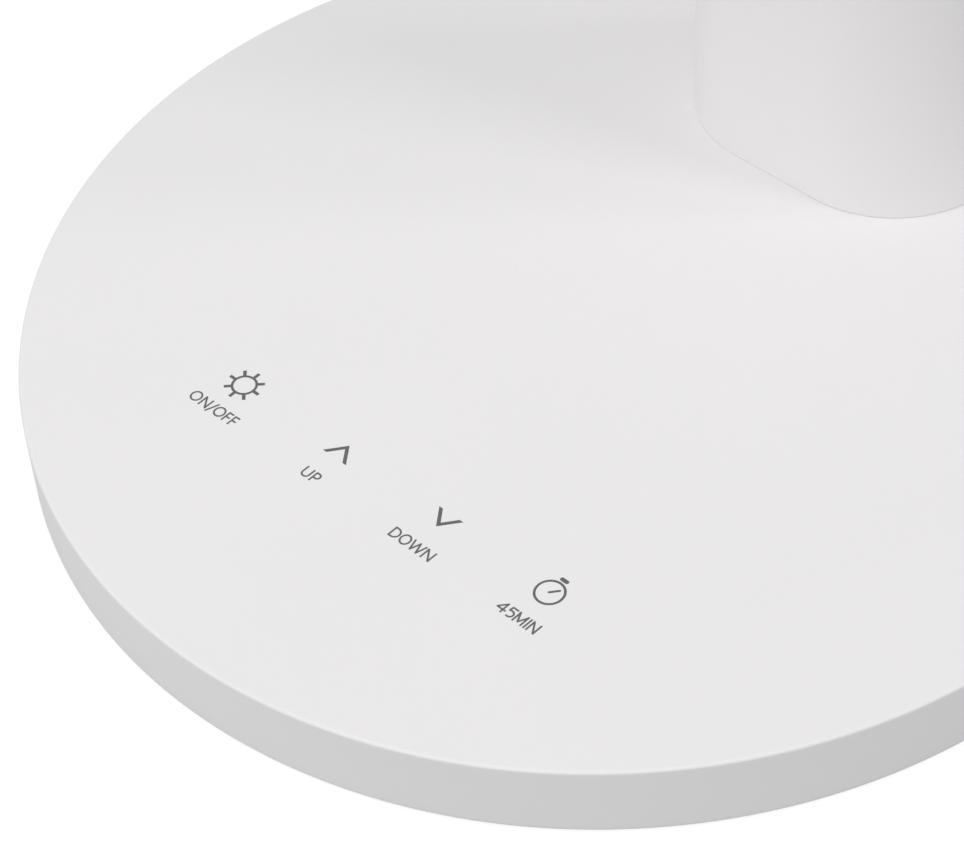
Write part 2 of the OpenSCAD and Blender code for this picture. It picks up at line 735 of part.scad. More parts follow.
// Long screws through the rear half and the post into the front half
module stem_screws() {
    color(steel) at_stem() for (h = stem_screw_h) translate([0, 0, base_top + h]) {
        seat = stem_half_depth(h) - stem_head_seat;
        deep_cylinder(stem_screw_d, -stem_half_depth(h) + stem_wall + loose_gap, seat + root);
        deep_cylinder(stem_screw_head_d, seat, seat + stem_screw_head_t);
    }
}

// Lead from the control board through the groove and the post to the neck
module stem_lead() {
    color(white) lead(stem_route, lead_r, [0, 0, 1]);
}

// Neck swivel

// Flanged bearing in the top of the post
module neck_bush() {
    color(natural_resin) at_stem() difference() {
        union() {
            translate([0, 0, bush_bottom]) cylinder(r = post_bore_r - fit_gap, h = bush_l + root);
            translate([0, 0, post_top]) cylinder(d = bush_flange_d, h = bush_flange_t);
        }
        translate([0, 0, bush_bottom - cut])
            cylinder(d = shaft_d + 2 * run_gap, h = bush_l + bush_flange_t + 2 * cut);
        translate([0, stop_pin_r, neck_top - stop_pin_sink])
            cylinder(d = stop_pin_d + 2 * fit_gap, h = stop_pin_sink + cut);
    }
}

// Pin that runs in the neck's curved groove and stops the turn at both ends
module swivel_stop_pin() {
    color(steel) at_stem() translate([0, stop_pin_r, neck_top - stop_pin_sink])
        cylinder(d = stop_pin_d, h = stop_pin_sink + stop_pin_rise);
}

// Space that the tongue sweeps in front of the hinge, from level to its lowest tilt
module tilt_notch() {
    half = tongue_t / 2 + notch_room;
    under = half * [sin(tilt_down), -cos(tilt_down)];
    low = under - notch_reach * [cos(tilt_down), sin(tilt_down)];
    rotate([90, 0, 90]) translate([0, 0, -slot_w / 2]) linear_extrude(slot_w)
        polygon([[0, half], [-notch_reach, half], [-notch_reach, low[1]], low, under]);
}

// Turning neck: a round foot that grows into the two ears of the hinge
module neck_turret() {
    color(white) difference() {
        union() {
            at_stem() translate([0, 0, neck_top]) cylinder(d = neck_d, h = pivot_z - neck_top);
            at_hinge() cross_cylinder(barrel_d, barrel_w);
        }
        at_hinge() {
            cross_cylinder(2 * slot_r, slot_w);
            tilt_notch();
            cross_cylinder(hinge_pin_d + 2 * fit_gap, barrel_w + 2 * cut);
            for (side = [-1, 1]) translate([side * (ear_seat + ear_recess), 0, 0])
                cross_cylinder(ear_recess_d, 2 * ear_recess);
        }
        at_stem() translate([0, 0, neck_top]) {
            translate([0, 0, -cut]) cylinder(d = shaft_d + 2 * fit_gap, h = shaft_grip + cut);
            translate([0, 0, shaft_grip - cut]) cylinder(d = shaft_bore_d, h = turret_floor);
            rotate([0, 0, 90 - stop_angle]) translate([0, 0, -cut]) rotate_extrude(angle = 2 * stop_angle)
                translate([stop_pin_r - stop_pin_d / 2 - stop_room, 0])
                    square([stop_pin_d + 2 * stop_room, stop_groove_depth + cut]);
        }
    }
}

// Hollow shaft pressed into the neck, turning in the bearing
module swivel_shaft() {
    shaft_l = neck_top + shaft_grip - swivel_nut_bottom;
    color(steel) at_stem() translate([0, 0, swivel_nut_bottom]) difference() {
        cylinder(d = shaft_d, h = shaft_l);
        translate([0, 0, -cut]) cylinder(d = shaft_bore_d, h = shaft_l + 2 * cut);
    }
}

module swivel_ring(z, h) {
    at_stem() translate([0, 0, z]) difference() {
        cylinder(d = swivel_nut_d, h = h);
        translate([0, 0, -cut]) cylinder(d = shaft_d + 2 * fit_gap, h = h + 2 * cut);
    }
}

// Friction washer that holds the neck where it is turned to
module swivel_washer() {
    color(zinc) swivel_ring(swivel_washer_bottom, swivel_washer_t);
}

module swivel_nut() {
    color(steel) swivel_ring(swivel_nut_bottom, swivel_nut_t);
}

// Head hinge

// Cross pin with a flat head in the left ear's recess
module hinge_pin() {
    color(steel) at_hinge() {
        translate([hinge_nut_t / 2 - root / 2, 0, 0])
            cross_cylinder(hinge_pin_d, 2 * ear_seat + hinge_nut_t + root);
        translate([-ear_seat - pin_head_t / 2, 0, 0]) cross_cylinder(pin_head_d, pin_head_t);
    }
}

// Lock nut in the right ear's recess
module hinge_nut() {
    color(steel) at_hinge() translate([ear_seat + hinge_nut_t / 2, 0, 0]) difference() {
        rotate([0, 90, 0]) cylinder(d = hinge_nut_w / cos(30), h = hinge_nut_t, center = true, $fn = 6);
        cross_cylinder(hinge_pin_d + 2 * fit_gap, hinge_nut_t + 2 * cut);
    }
}

// Round caps that close both recesses flush with the ears
module hinge_caps() {
    color(white) at_hinge() for (side = [-1, 1]) translate([side * (barrel_w - cap_t) / 2, 0, 0])
        cross_cylinder(ear_recess_d - 2 * fit_gap, cap_t);
}

// Spring washers between the tongue and the ears
module tilt_washers() {
    color(steel) at_hinge() for (side = [-1, 1])
        translate([side * (tongue_w + tilt_washer_t) / 2, 0, 0]) difference() {
            cross_cylinder(tilt_washer_d, tilt_washer_t);
            cross_cylinder(hinge_pin_d + 2 * fit_gap, tilt_washer_t + 2 * cut);
        }
}

module tongue_screw_places() {
    for (x = [-tongue_screw_x, tongue_screw_x], y = [tongue_screw_inset, tongue_plate_l - tongue_screw_inset])
        translate([x, -head_gap - head_wall - y, 0]) children();
}

// Cast tongue: barrel between the ears, short neck and the plate inside the light bar
module hinge_tongue() {
    color(white) at_hinge() difference() {
        union() {
            cross_cylinder(barrel_d, tongue_w);
            translate([-tongue_w / 2, -head_gap + loose_gap, -tongue_t / 2])
                cube([tongue_w, head_gap - loose_gap, tongue_t]);
            translate([-tongue_w / 2, -tongue_plate_end, tongue_plate_bottom])
                cube([tongue_w, tongue_plate_end - barrel_r, tongue_plate_t]);
            translate([-tongue_plate_w / 2, -tongue_plate_end, tongue_plate_bottom])
                cube([tongue_plate_w, tongue_plate_l - loose_gap, tongue_plate_t]);
        }
        cross_cylinder(hinge_pin_d + 2 * run_gap, barrel_w);
        tongue_screw_places() translate([0, 0, tongue_plate_bottom])
            countersunk_hole(tongue_screw_d, 2 * tongue_screw_d, tongue_plate_t + cut);
    }
}

module tongue_screws() {
    color(steel) at_hinge() tongue_screw_places() translate([0, 0, tongue_plate_bottom])
        countersunk_screw(tongue_screw_d, 2 * tongue_screw_d, tongue_screw_l);
}

// Light bar

// Slab with the light bar's outline, drawn in by inset, between two heights
module head_slab(z0, z1, inset) {
    translate([0, -head_gap - head_l / 2, z0]) linear_extrude(z1 - z0)
        polygon(rounded_rect(head_w - 2 * inset, head_l - 2 * inset, head_r - inset));
}

// Box in the middle of the light bar over the length of its optics
module optic_box(w, l, z0, z1) {
    translate([-w / 2, -optic_mid - l / 2, z0]) cube([w, l, z1 - z0]);
}

module head_screw_places() {
    for (x = [-1, 1], y = [-head_gap - head_screw_inset_y, -head_tip + head_screw_inset_y])
        translate([x * (head_w / 2 - head_screw_inset_x), y, 0]) children();
}

// Upper shell of the light bar, with bosses for the tongue and for the lower frame
module head_shell() {
    color(white) at_hinge() difference() {
        union() {
            difference() {
                head_slab(bezel_top, head_top, 0);
                head_slab(bezel_top - cut, head_ceiling, head_wall);
            }
            head_screw_places() translate([0, 0, bezel_top])
                cylinder(d = head_boss_d, h = head_ceiling - bezel_top + root);
            tongue_screw_places() translate([0, 0, tongue_plate_top])
                cylinder(d = tongue_boss_d, h = head_ceiling - tongue_plate_top + root);
        }
        head_screw_places() translate([0, 0, bezel_top - cut])
            cylinder(d = head_screw_d + 2 * fit_gap, h = head_ceiling - bezel_top + cut);
        tongue_screw_places() translate([0, 0, tongue_plate_top - cut])
            cylinder(d = tongue_screw_d + 2 * fit_gap, h = head_ceiling - tongue_plate_top + cut);
        translate([-tongue_w / 2 - loose_gap, -head_gap - head_wall - cut, bezel_top - cut])
            cube([tongue_w + 2 * loose_gap, head_wall + 2 * cut,
                  tongue_plate_top + loose_gap - bezel_top + cut]);
    }
}

// Lower frame with the light window and the lip that the diffuser lies on
module head_bezel() {
    color(white) at_hinge() difference() {
        head_slab(bezel_bottom, bezel_top, 0);
        optic_box(diffuser_w - 2 * bezel_lip_w, optic_l - 2 * bezel_lip_w,
                  bezel_bottom - cut, bezel_top + cut);
        optic_box(diffuser_w + 2 * loose_gap, optic_l + 2 * loose_gap, diffuser_bottom, bezel_top + cut);
        head_screw_places() translate([0, 0, bezel_bottom])
            countersunk_hole(head_screw_d, 2 * head_screw_d, bezel_t + cut);
    }
}

module head_screws() {
    color(steel) at_hinge() head_screw_places() translate([0, 0, bezel_bottom])
        countersunk_screw(head_screw_d, 2 * head_screw_d, head_ceiling - bezel_bottom);
}

module heat_spreader() {
    color(aluminium) at_hinge() optic_box(diffuser_w, optic_l, spreader_bottom, head_ceiling);
}

module led_board() {
    color(white) at_hinge() optic_box(led_board_w, led_board_l, led_board_bottom, spreader_bottom);
}

// Two rows of diodes that shine down through the diffuser
module led_chips() {
    color(phosphor) at_hinge() for (side = [-1, 1], k = [0:led_count - 1])
        translate([side * led_row_gap / 2 - led_w / 2,
                   -optic_mid + (k - (led_count - 1) / 2) * led_pitch - led_w / 2, led_board_bottom - led_t])
            cube([led_w, led_w, led_t]);
}

// White frame round the diodes, between the heat spreader and the diffuser
module reflector_frame() {
    color(white) at_hinge() difference() {
        optic_box(diffuser_w, optic_l, bezel_top, spreader_bottom);
        optic_box(diffuser_w - 2 * reflector_wall, optic_l - 2 * reflector_wall,
                  bezel_top - cut, spreader_bottom + cut);
        translate([0, 0, head_lead_z])
            deep_cylinder(head_lead_d + 2 * loose_gap, -optic_start - 2 * reflector_wall, -optic_start + cut);
    }
}

module diffuser() {
    color(opal) at_hinge() optic_box(diffuser_w, optic_l, diffuser_bottom, bezel_top);
}

// Lead from the tongue to the strip of diodes
module head_lead() {
    color(white) at_hinge() translate([0, 0, head_lead_z])
        deep_cylinder(head_lead_d, -head_lead_end, -head_lead_start);
}

base_cover();
base_plate();
base_pad();
base_screws();
ballast_plate();
touch_board();
touch_electrodes();
touch_lead();
control_board();
control_parts();
dc_jack();
dc_jack_pin();
inlet_lead();
stem_flange();
flange_screws();
stem_post();
stem_front_shell();
stem_rear_shell();
stem_screws();
stem_lead();
neck_bush();
swivel_stop_pin();
neck_turret();
swivel_shaft();
swivel_washer();
swivel_nut();
hinge_pin();
hinge_nut();
hinge_caps();
tilt_washers();
hinge_tongue();
tongue_screws();
head_shell();
head_bezel();
head_screws();
heat_spreader();
led_board();
led_chips();
reflector_frame();
diffuser();
head_lead();
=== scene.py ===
import math

import bmesh
import bpy
from mathutils import Matrix, Vector
from mathutils.geometry import delaunay_2d_cdt


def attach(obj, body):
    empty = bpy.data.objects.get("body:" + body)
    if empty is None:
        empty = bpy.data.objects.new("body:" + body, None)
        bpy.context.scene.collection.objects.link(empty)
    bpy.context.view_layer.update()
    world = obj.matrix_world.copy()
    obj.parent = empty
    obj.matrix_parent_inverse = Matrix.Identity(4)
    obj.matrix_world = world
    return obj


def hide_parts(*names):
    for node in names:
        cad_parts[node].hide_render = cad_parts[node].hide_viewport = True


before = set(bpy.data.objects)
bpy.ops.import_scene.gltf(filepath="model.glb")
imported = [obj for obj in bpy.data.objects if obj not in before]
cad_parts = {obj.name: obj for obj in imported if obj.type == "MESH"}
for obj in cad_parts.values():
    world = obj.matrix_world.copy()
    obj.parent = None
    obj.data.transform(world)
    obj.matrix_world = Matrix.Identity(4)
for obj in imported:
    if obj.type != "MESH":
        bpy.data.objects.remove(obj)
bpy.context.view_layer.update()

# Camera: the photograph's view, a long lens over the front right of the base.
# Its place, turn and lens were fitted to the rim of the base, the foot of the column and the printed keys.
MM = 0.001
scene = bpy.context.scene
camera_forward = Vector((-0.516021, 0.473600, -0.713741))
camera_right = Vector((0.721822, 0.689052, -0.064646))
camera_up = camera_right.cross(camera_forward)
camera_data = bpy.data.cameras.new("photo_camera")
camera_data.sensor_width = 36
camera_data.lens = 132.25
camera_data.clip_start = 0.01
camera = bpy.data.objects.new("photo_camera", camera_data)
camera_place = Vector((271.90, -278.03, 384.19)) * MM
camera_turn = Matrix((camera_right, camera_up, -camera_forward)).transposed().to_4x4()
camera.matrix_world = Matrix.Translation(camera_place) @ camera_turn
scene.collection.objects.link(camera)
scene.camera = camera
scene.view_settings.view_transform = "Standard"

# Studio: a pale floor under an even white room, with large soft lamps.
# The camera sees the room and the floor as white, and the floor keeps a faint shadow.


def add_node(tree, kind, settings=None, **inputs):
    """Adds a node. An input given as a socket is linked, and _0, _1 name an input by its number."""
    made = tree.nodes.new(kind)
    for key, value in (settings or {}).items():
        setattr(made, key, value)
    for key, value in inputs.items():
        socket = made.inputs[int(key[1:])] if key[0] == "_" else made.inputs[key.replace("_", " ")]
        if isinstance(value, bpy.types.NodeSocket):
            tree.links.new(value, socket)
        else:
            socket.default_value = value
    return made


def rays_of(tree, *kinds):
    """1 for rays of any of the given kinds, and 0 for the others."""
    path = add_node(tree, "ShaderNodeLightPath").outputs
    mask = path[f"Is {kinds[0]} Ray"]
    for kind in kinds[1:]:
        mask = add_node(tree, "ShaderNodeMath", {"operation": "MAXIMUM"}, _0=mask,
                        _1=path[f"Is {kind} Ray"]).outputs[0]
    return mask


def grey(tone):
    return (tone, tone, tone, 1)


ROOM_LIGHT = 0.543
room = bpy.data.worlds.new("white_room")
scene.world = room
room.use_nodes = True
room.node_tree.nodes.clear()
room_lit = add_node(room.node_tree, "ShaderNodeBackground", Color=grey(1), Strength=ROOM_LIGHT)
room_seen = add_node(room.node_tree, "ShaderNodeBackground", Color=grey(1), Strength=1.0)
room_mix = add_node(room.node_tree, "ShaderNodeMixShader",
                    _0=rays_of(room.node_tree, "Camera", "Glossy", "Transmission"),
                    _1=room_lit.outputs[0], _2=room_seen.outputs[0])
add_node(room.node_tree, "ShaderNodeOutputWorld", Surface=room_mix.outputs[0])

FLOOR_HALF, FLOOR_Z = 2.5, -0.00005
FLOOR_BOUNCE, FLOOR_MIRRORED, FLOOR_SHADOW, FLOOR_GLOW = 0.45, 0.9, 0.2, 0.86
floor_mesh = bpy.data.meshes.new("floor")
floor_corners = [(x * FLOOR_HALF, y * FLOOR_HALF, FLOOR_Z) for x, y in ((-1, -1), (1, -1), (1, 1), (-1, 1))]
floor_mesh.from_pydata(floor_corners, [], [(0, 1, 2, 3)])
floor = bpy.data.objects.new("floor", floor_mesh)
scene.collection.objects.link(floor)
floor_paint = bpy.data.materials.new("pale_floor")
floor_paint.use_nodes = True
floor_tree = floor_paint.node_tree
floor_tree.nodes.clear()
floor_tone = add_node(floor_tree, "ShaderNodeMix", {"data_type": "RGBA"}, _0=rays_of(floor_tree, "Glossy"),
                      _6=grey(FLOOR_BOUNCE), _7=grey(FLOOR_MIRRORED)).outputs[2]
floor_lit = add_node(floor_tree, "ShaderNodeBsdfDiffuse", Color=floor_tone)
floor_faint = add_node(floor_tree, "ShaderNodeBsdfDiffuse", Color=grey(FLOOR_SHADOW))
floor_glow = add_node(floor_tree, "ShaderNodeEmission", Color=grey(1), Strength=FLOOR_GLOW)
floor_white = add_node(floor_tree, "ShaderNodeAddShader", _0=floor_faint.outputs[0], _1=floor_glow.outputs[0])
floor_mix = add_node(floor_tree, "ShaderNodeMixShader", _0=rays_of(floor_tree, "Camera", "Transmission"),
                     _1=floor_lit.outputs[0], _2=floor_white.outputs[0])
add_node(floor_tree, "ShaderNodeOutputMaterial", Surface=floor_mix.outputs[0])
floor_mesh.materials.append(floor_paint)

# Each lamp: degrees round the object from the front, degrees up from the floor, width in metres, and power
LAMP_AIM, LAMP_AWAY = Vector((0, 0, 0.05)), 10.0
SOFT_LAMPS = {
    "front_lamp": (354, 50, 10.0, 578),
    "right_lamp": (110, 45, 2.2, 131),
    "rear_right_lamp": (130, 45, 1.2, 52),
}
for lamp_name, (lamp_round, lamp_rise, lamp_size, lamp_power) in SOFT_LAMPS.items():
    lamp_data = bpy.data.lights.new(lamp_name, "AREA")
    lamp_data.size = lamp_size
    lamp_data.energy = lamp_power
    lamp = bpy.data.objects.new(lamp_name, lamp_data)
    lamp_turn = Matrix.Rotation(math.radians(lamp_round), 3, "Z")
    lamp_lift = Matrix.Rotation(math.radians(-lamp_rise), 3, "X")
    lamp_way = lamp_turn @ lamp_lift @ Vector((0, -LAMP_AWAY, 0))
    lamp.location = LAMP_AIM + lamp_way
    lamp.rotation_euler = (-lamp_way).to_track_quat("-Z", "Y").to_euler()
    scene.collection.objects.link(lamp)

# Non-slip pad: a disc of dark foam rubber, die-cut with a soft edge.
# It is glued under the bottom plate, inside the ring of screws, and the lamp rests on it.
BASE_SIDES = 288


def circle(radius, height, sides=96, centre=(0, 0)):
    return [(centre[0] + radius * math.cos(2 * math.pi * k / sides),
             centre[1] + radius * math.sin(2 * math.pi * k / sides), height) for k in range(sides)]


def round_over(middle, radius, start, end, steps=8):
    """Points of a rounded edge in a section: (distance out, height) from one angle to another, in degrees."""
    angles = [math.radians(start + (end - start) * k / steps) for k in range(steps + 1)]
    return [(middle[0] + radius * math.cos(a), middle[1] + radius * math.sin(a)) for a in angles]


def skinned(rings, closed=False):
    """A closed skin over rings of points: the ends get flat faces, or the last ring meets the first."""
    skin = bmesh.new()
    loops = [[skin.verts.new(point) for point in ring] for ring in rings]
    for low, high in zip(loops, loops[1:] + loops[:1] if closed else loops[1:]):
        for k in range(len(low)):
            n = (k + 1) % len(low)
            skin.faces.new((low[k], low[n], high[n], high[k]))
    if not closed:
        skin.faces.new(loops[0][::-1])
        skin.faces.new(loops[-1])
    return skin


def turned(section, sides=96, centre=(0, 0)):
    """A section of (radius, height) points turned about an upright axis."""
    return skinned([circle(radius, height, sides, centre) for radius, height in section])


def solid_mesh(name, skin, crease=32):
    """A mesh in metres from a closed skin in millimetres. Faces point out, smooth but for sharp edges."""
    bmesh.ops.remove_doubles(skin, verts=skin.verts, dist=1e-4)
    bmesh.ops.recalc_face_normals(skin, faces=skin.faces)
    if skin.calc_volume(signed=True) < 0:
        bmesh.ops.reverse_faces(skin, faces=skin.faces)
    for face in skin.faces:
        face.smooth = True
    for edge in skin.edges:
        edge.smooth = len(edge.link_faces) == 2 and edge.calc_face_angle() < math.radians(crease)
    bmesh.ops.scale(skin, vec=(MM, MM, MM), verts=skin.verts)
    mesh = bpy.data.meshes.new(name)
    skin.to_mesh(mesh)
    skin.free()
    return mesh


def seated(name, mesh, body, *nodes, slot=None):
    """A finished mesh on the CAD body that it rides, in place of the CAD nodes that it stands for."""
    mesh.name = name
    piece = bpy.data.objects.new(name, mesh)
    scene.collection.objects.link(piece)
    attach(piece, body)
    if nodes:
        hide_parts(*nodes)


def made_piece(name, skin, material, body, *nodes, slot=None):
    """The piece that a closed skin makes, in its material and in its place."""
    mesh = solid_mesh(name, skin)
    mesh.materials.append(material)
    seated(name, mesh, body, *nodes, slot=slot)


def pattern_group(name, inputs):
    """A shader group that puts out Tone, Rough and Height, each from 0 to 1 over the surface."""
    group = bpy.data.node_groups.new(name, "ShaderNodeTree")
    for label, value in inputs.items():
        kind = "NodeSocketVector" if isinstance(value, tuple) else "NodeSocketFloat"
        group.interface.new_socket(label, in_out="INPUT", socket_type=kind).default_value = value
    for label in ("Tone", "Rough", "Height"):
        group.interface.new_socket(label, in_out="OUTPUT", socket_type="NodeSocketFloat")
    return group, add_node(group, "NodeGroupInput").outputs


def finish(name, pattern, tones, rough, depth, sizes, **fixed):
    """A material: pattern sets the tone between two colours, the roughness, and a relief of depth in mm."""
    material = bpy.data.materials.new(name)
    material.use_nodes = True
    tree = material.node_tree
    shader = tree.nodes["Principled BSDF"]
    for key, value in fixed.items():
        shader.inputs[key.replace("_", " ")].default_value = value
    place = add_node(tree, "ShaderNodeTexCoord").outputs["Object"]
    marks = add_node(tree, "ShaderNodeGroup", {"node_tree": pattern}, Vector=place, **sizes).outputs
    colour = add_node(tree, "ShaderNodeMix", {"data_type": "RGBA"}, _0=marks["Tone"],
                      _6=(*tones[0], 1), _7=(*tones[1], 1)).outputs[2]
    shine = add_node(tree, "ShaderNodeMapRange", Value=marks["Rough"], To_Min=rough[0], To_Max=rough[1])
    relief = add_node(tree, "ShaderNodeBump", Strength=1.0, Distance=depth * MM, Height=marks["Height"])
    tree.links.new(colour, shader.inputs["Base Color"])
    tree.links.new(shine.outputs[0], shader.inputs["Roughness"])
    tree.links.new(relief.outputs[0], shader.inputs["Normal"])
    return material


# Skin of foam rubber or a sand casting: small rounded pebbles over slow changes of tone
pebbled, pebbled_in = pattern_group("pebbled", {"Vector": (0, 0, 0), "Pebbles": 900.0, "Patches": 40.0})
pebbles = add_node(pebbled, "ShaderNodeTexVoronoi", {"feature": "SMOOTH_F1"}, Vector=pebbled_in["Vector"],
                   Scale=pebbled_in["Pebbles"], Smoothness=0.6).outputs["Distance"]
pebble_patches = add_node(pebbled, "ShaderNodeTexNoise", Vector=pebbled_in["Vector"],
                          Scale=pebbled_in["Patches"], Detail=4.0).outputs[0]
pebble_tone = add_node(pebbled, "ShaderNodeMath", {"operation": "MULTIPLY"}, _0=pebbles,
                       _1=pebble_patches).outputs[0]
add_node(pebbled, "NodeGroupOutput", Tone=pebble_tone, Rough=pebble_patches, Height=pebbles)

foam_rubber = finish("foam_rubber", pebbled, ((0.02, 0.02, 0.022), (0.05, 0.05, 0.052)), (0.75, 0.95), 0.08,
                     {"Pebbles": 1100.0, "Patches": 60.0}, Specular_IOR_Level=0.3)
PAD_R, PAD_T, PAD_EDGE = 75.3, 1.0, 0.3
FLAT_RING = 1.0  # a ring this far inside an edge keeps the flat face evenly shaded
pad_section = ([(PAD_R - FLAT_RING, 0)] + round_over((PAD_R - PAD_EDGE, PAD_EDGE), PAD_EDGE, -90, 0)
               + round_over((PAD_R - PAD_EDGE, PAD_T - PAD_EDGE), PAD_EDGE, 0, 90)
               + [(PAD_R - FLAT_RING, PAD_T)])
made_piece("base_pad_foam", turned(pad_section, BASE_SIDES), foam_rubber, "base", "base_pad", slot="dark_pad")

# Bottom plate: a white moulded disc that closes the base from below.
# Four sunk screws hold it, and four small posts on its inside carry the control board.
moulded, moulded_in = pattern_group("moulded_grain", {"Vector": (0, 0, 0), "Grain": 2600.0, "Patches": 30.0})
grain = add_node(moulded, "ShaderNodeTexNoise", Vector=moulded_in["Vector"], Scale=moulded_in["Grain"],
                 Detail=2.0).outputs[0]
grain_patches = add_node(moulded, "ShaderNodeTexNoise", Vector=moulded_in["Vector"],
                         Scale=moulded_in["Patches"], Detail=3.0).outputs[0]
grain_tone = add_node(moulded, "ShaderNodeMix", _0=0.5, _2=grain_patches, _3=grain).outputs[0]
add_node(moulded, "NodeGroupOutput", Tone=grain_tone, Rough=grain_tone, Height=grain)


def joined_meshes(parts):
    """Several separate skins as one."""
    whole = bmesh.new()
    for part in parts:
        rough_mesh = bpy.data.meshes.new("rough")
        part.to_mesh(rough_mesh)
        part.free()
        whole.from_mesh(rough_mesh)
        bpy.data.meshes.remove(rough_mesh)
    return whole


def rough_object(mesh):
    """A passing object that carries a mesh while modifiers work on it. It goes when its mesh is removed."""
    rough = bpy.data.objects.new("rough", mesh)
    scene.collection.objects.link(rough)
    return rough


def worked(rough):
    """A plain mesh of an object with its modifiers applied."""
    bpy.context.view_layer.update()
    return bpy.data.meshes.new_from_object(rough.evaluated_get(bpy.context.evaluated_depsgraph_get()))


def shaped(body, add=(), cut=()):
    """The body with other skins added to it and then cut out of it."""
    for operation, parts in (("UNION", add), ("DIFFERENCE", cut)):
        if not parts:
            continue
        rough = []
        for skin in (body, joined_meshes(parts)):
            bmesh.ops.recalc_face_normals(skin, faces=skin.faces)
            rough_mesh = bpy.data.meshes.new("rough")
            skin.to_mesh(rough_mesh)
            skin.free()
            rough.append(rough_object(rough_mesh))
        step = rough[0].modifiers.new("step", "BOOLEAN")
        step.object, step.operation, step.solver = rough[1], operation, "EXACT"
        result = worked(rough[0])
        body = bmesh.new()
        body.from_mesh(result)
        bpy.data.meshes.remove(result)
        for item in rough:
            bpy.data.meshes.remove(item.data)
    return body


SOFT_WHITES = ((0.85, 0.8375, 0.8465), (0.806, 0.7935, 0.8025))
white_plastic = finish("white_plastic", moulded, SOFT_WHITES, (0.5, 0.6), 0.011,
                       {"Grain": 2600.0, "Patches": 26.0}, Specular_IOR_Level=0.15)
PLATE_R, PLATE_LOW, PLATE_TOP, PLATE_EDGE = 87.5, 1.0, 3.4, 0.35
SCREW_RING_X = 81.3 / math.sqrt(2)
SUNK_D, SHANK_D = 6.0, 3.0
FIT, OVERLAP, PAST = 0.02, 0.6, 1.0  # play of a screw in its hole, and how far what is added or cut runs on
BOARD_POSTS = [(29, 9), (55, 9), (29, 37), (55, 37)]
POST_R, POST_SEAT, POST_PIN_R, POST_TOP, POST_EDGE = 2.0, 4.8, 1.0, 6.7, 0.2


def sunk_hole(head_d, shank_d, face_z, end_z, rim, centre, sides):
    """A cutter for a countersunk screw that goes up through a face. Its rim is broken by (out, up)."""
    head_r, shank_r = head_d / 2 + FIT, shank_d / 2 + FIT
    seat_z = face_z + rim[1]
    return turned([(head_r + rim[0], face_z - PAST), (head_r + rim[0], face_z), (head_r, seat_z),
                   (shank_r, seat_z + head_r - shank_r), (shank_r, end_z)], sides, centre)


corners = [(x, y) for x in (-SCREW_RING_X, SCREW_RING_X) for y in (-SCREW_RING_X, SCREW_RING_X)]
plate_section = [(PLATE_R - FLAT_RING, PLATE_LOW), (PLATE_R - PLATE_EDGE, PLATE_LOW),
                 (PLATE_R, PLATE_LOW + PLATE_EDGE), (PLATE_R, PLATE_TOP - PLATE_EDGE),
                 (PLATE_R - PLATE_EDGE, PLATE_TOP), (PLATE_R - FLAT_RING, PLATE_TOP)]
post_section = [(POST_R, PLATE_TOP - OVERLAP), (POST_R, POST_SEAT), (POST_PIN_R, POST_SEAT),
                (POST_PIN_R, POST_TOP - POST_EDGE), (POST_PIN_R - POST_EDGE, POST_TOP)]
plate_posts = [turned(post_section, 32, c) for c in BOARD_POSTS]
plate_holes = [sunk_hole(SUNK_D, SHANK_D, PLATE_LOW, PLATE_TOP + PAST, (0.2, 0.2), c, 48) for c in corners]
base_plate = shaped(turned(plate_section, BASE_SIDES), add=plate_posts, cut=plate_holes)
made_piece("base_plate_moulding", base_plate, white_plastic, "base", "base_plate", slot="white_plastic")

# Base screws: four zinc plated countersunk screws with a cross recess.
# They go up through the bottom plate into bosses in the shell, with their heads flush.
brushed, brushed_in = pattern_group("brushed_lines", {"Vector": (0, 0, 0), "Stretch": (1.0, 1.0, 0.05),
                                                      "Lines": 3000.0, "Patches": 200.0})
stretched = add_node(brushed, "ShaderNodeVectorMath", {"operation": "MULTIPLY"}, _0=brushed_in["Vector"],
                     _1=brushed_in["Stretch"]).outputs[0]
lines = add_node(brushed, "ShaderNodeTexNoise", Vector=stretched, Scale=brushed_in["Lines"],
                 Detail=4.0).outputs[0]
line_patches = add_node(brushed, "ShaderNodeTexNoise", Vector=brushed_in["Vector"],
                        Scale=brushed_in["Patches"], Detail=3.0).outputs[0]
line_tone = add_node(brushed, "ShaderNodeMix", _0=0.5, _2=lines, _3=line_patches).outputs[0]
add_node(brushed, "NodeGroupOutput", Tone=line_tone, Rough=line_patches, Height=lines)
plated_steel = finish("plated_steel", brushed, ((0.62, 0.62, 0.63), (0.48, 0.48, 0.5)), (0.24, 0.42), 0.006,
                      {"Stretch": (1.0, 1.0, 1.0), "Lines": 2200.0, "Patches": 500.0}, Metallic=1.0)


def cross_screw(head_d, shank_d, length, head_section):
    """A screw on the upright axis with a cross recess in its lower face. Its section starts at that face."""
    reach, arm = head_d * 0.34, head_d * 0.075
    cross = [(arm, arm), (reach, arm), (reach, -arm), (arm, -arm), (arm, -reach), (-arm, -reach),
             (-arm, -arm), (-reach, -arm), (-reach, arm), (-arm, arm), (-arm, reach), (arm, reach)]
    face_z = head_section[0][1]
    recess = skinned([[(x * share, y * share, face_z + z) for x, y in cross]
                      for share, z in ((1.1, -0.05 * head_d), (0.55, 0.22 * head_d))])
    tip = [(shank_d / 2, length - 0.5), (shank_d / 2 - 0.5, length)]
    return shaped(turned(head_section + tip, 48), cut=[recess])


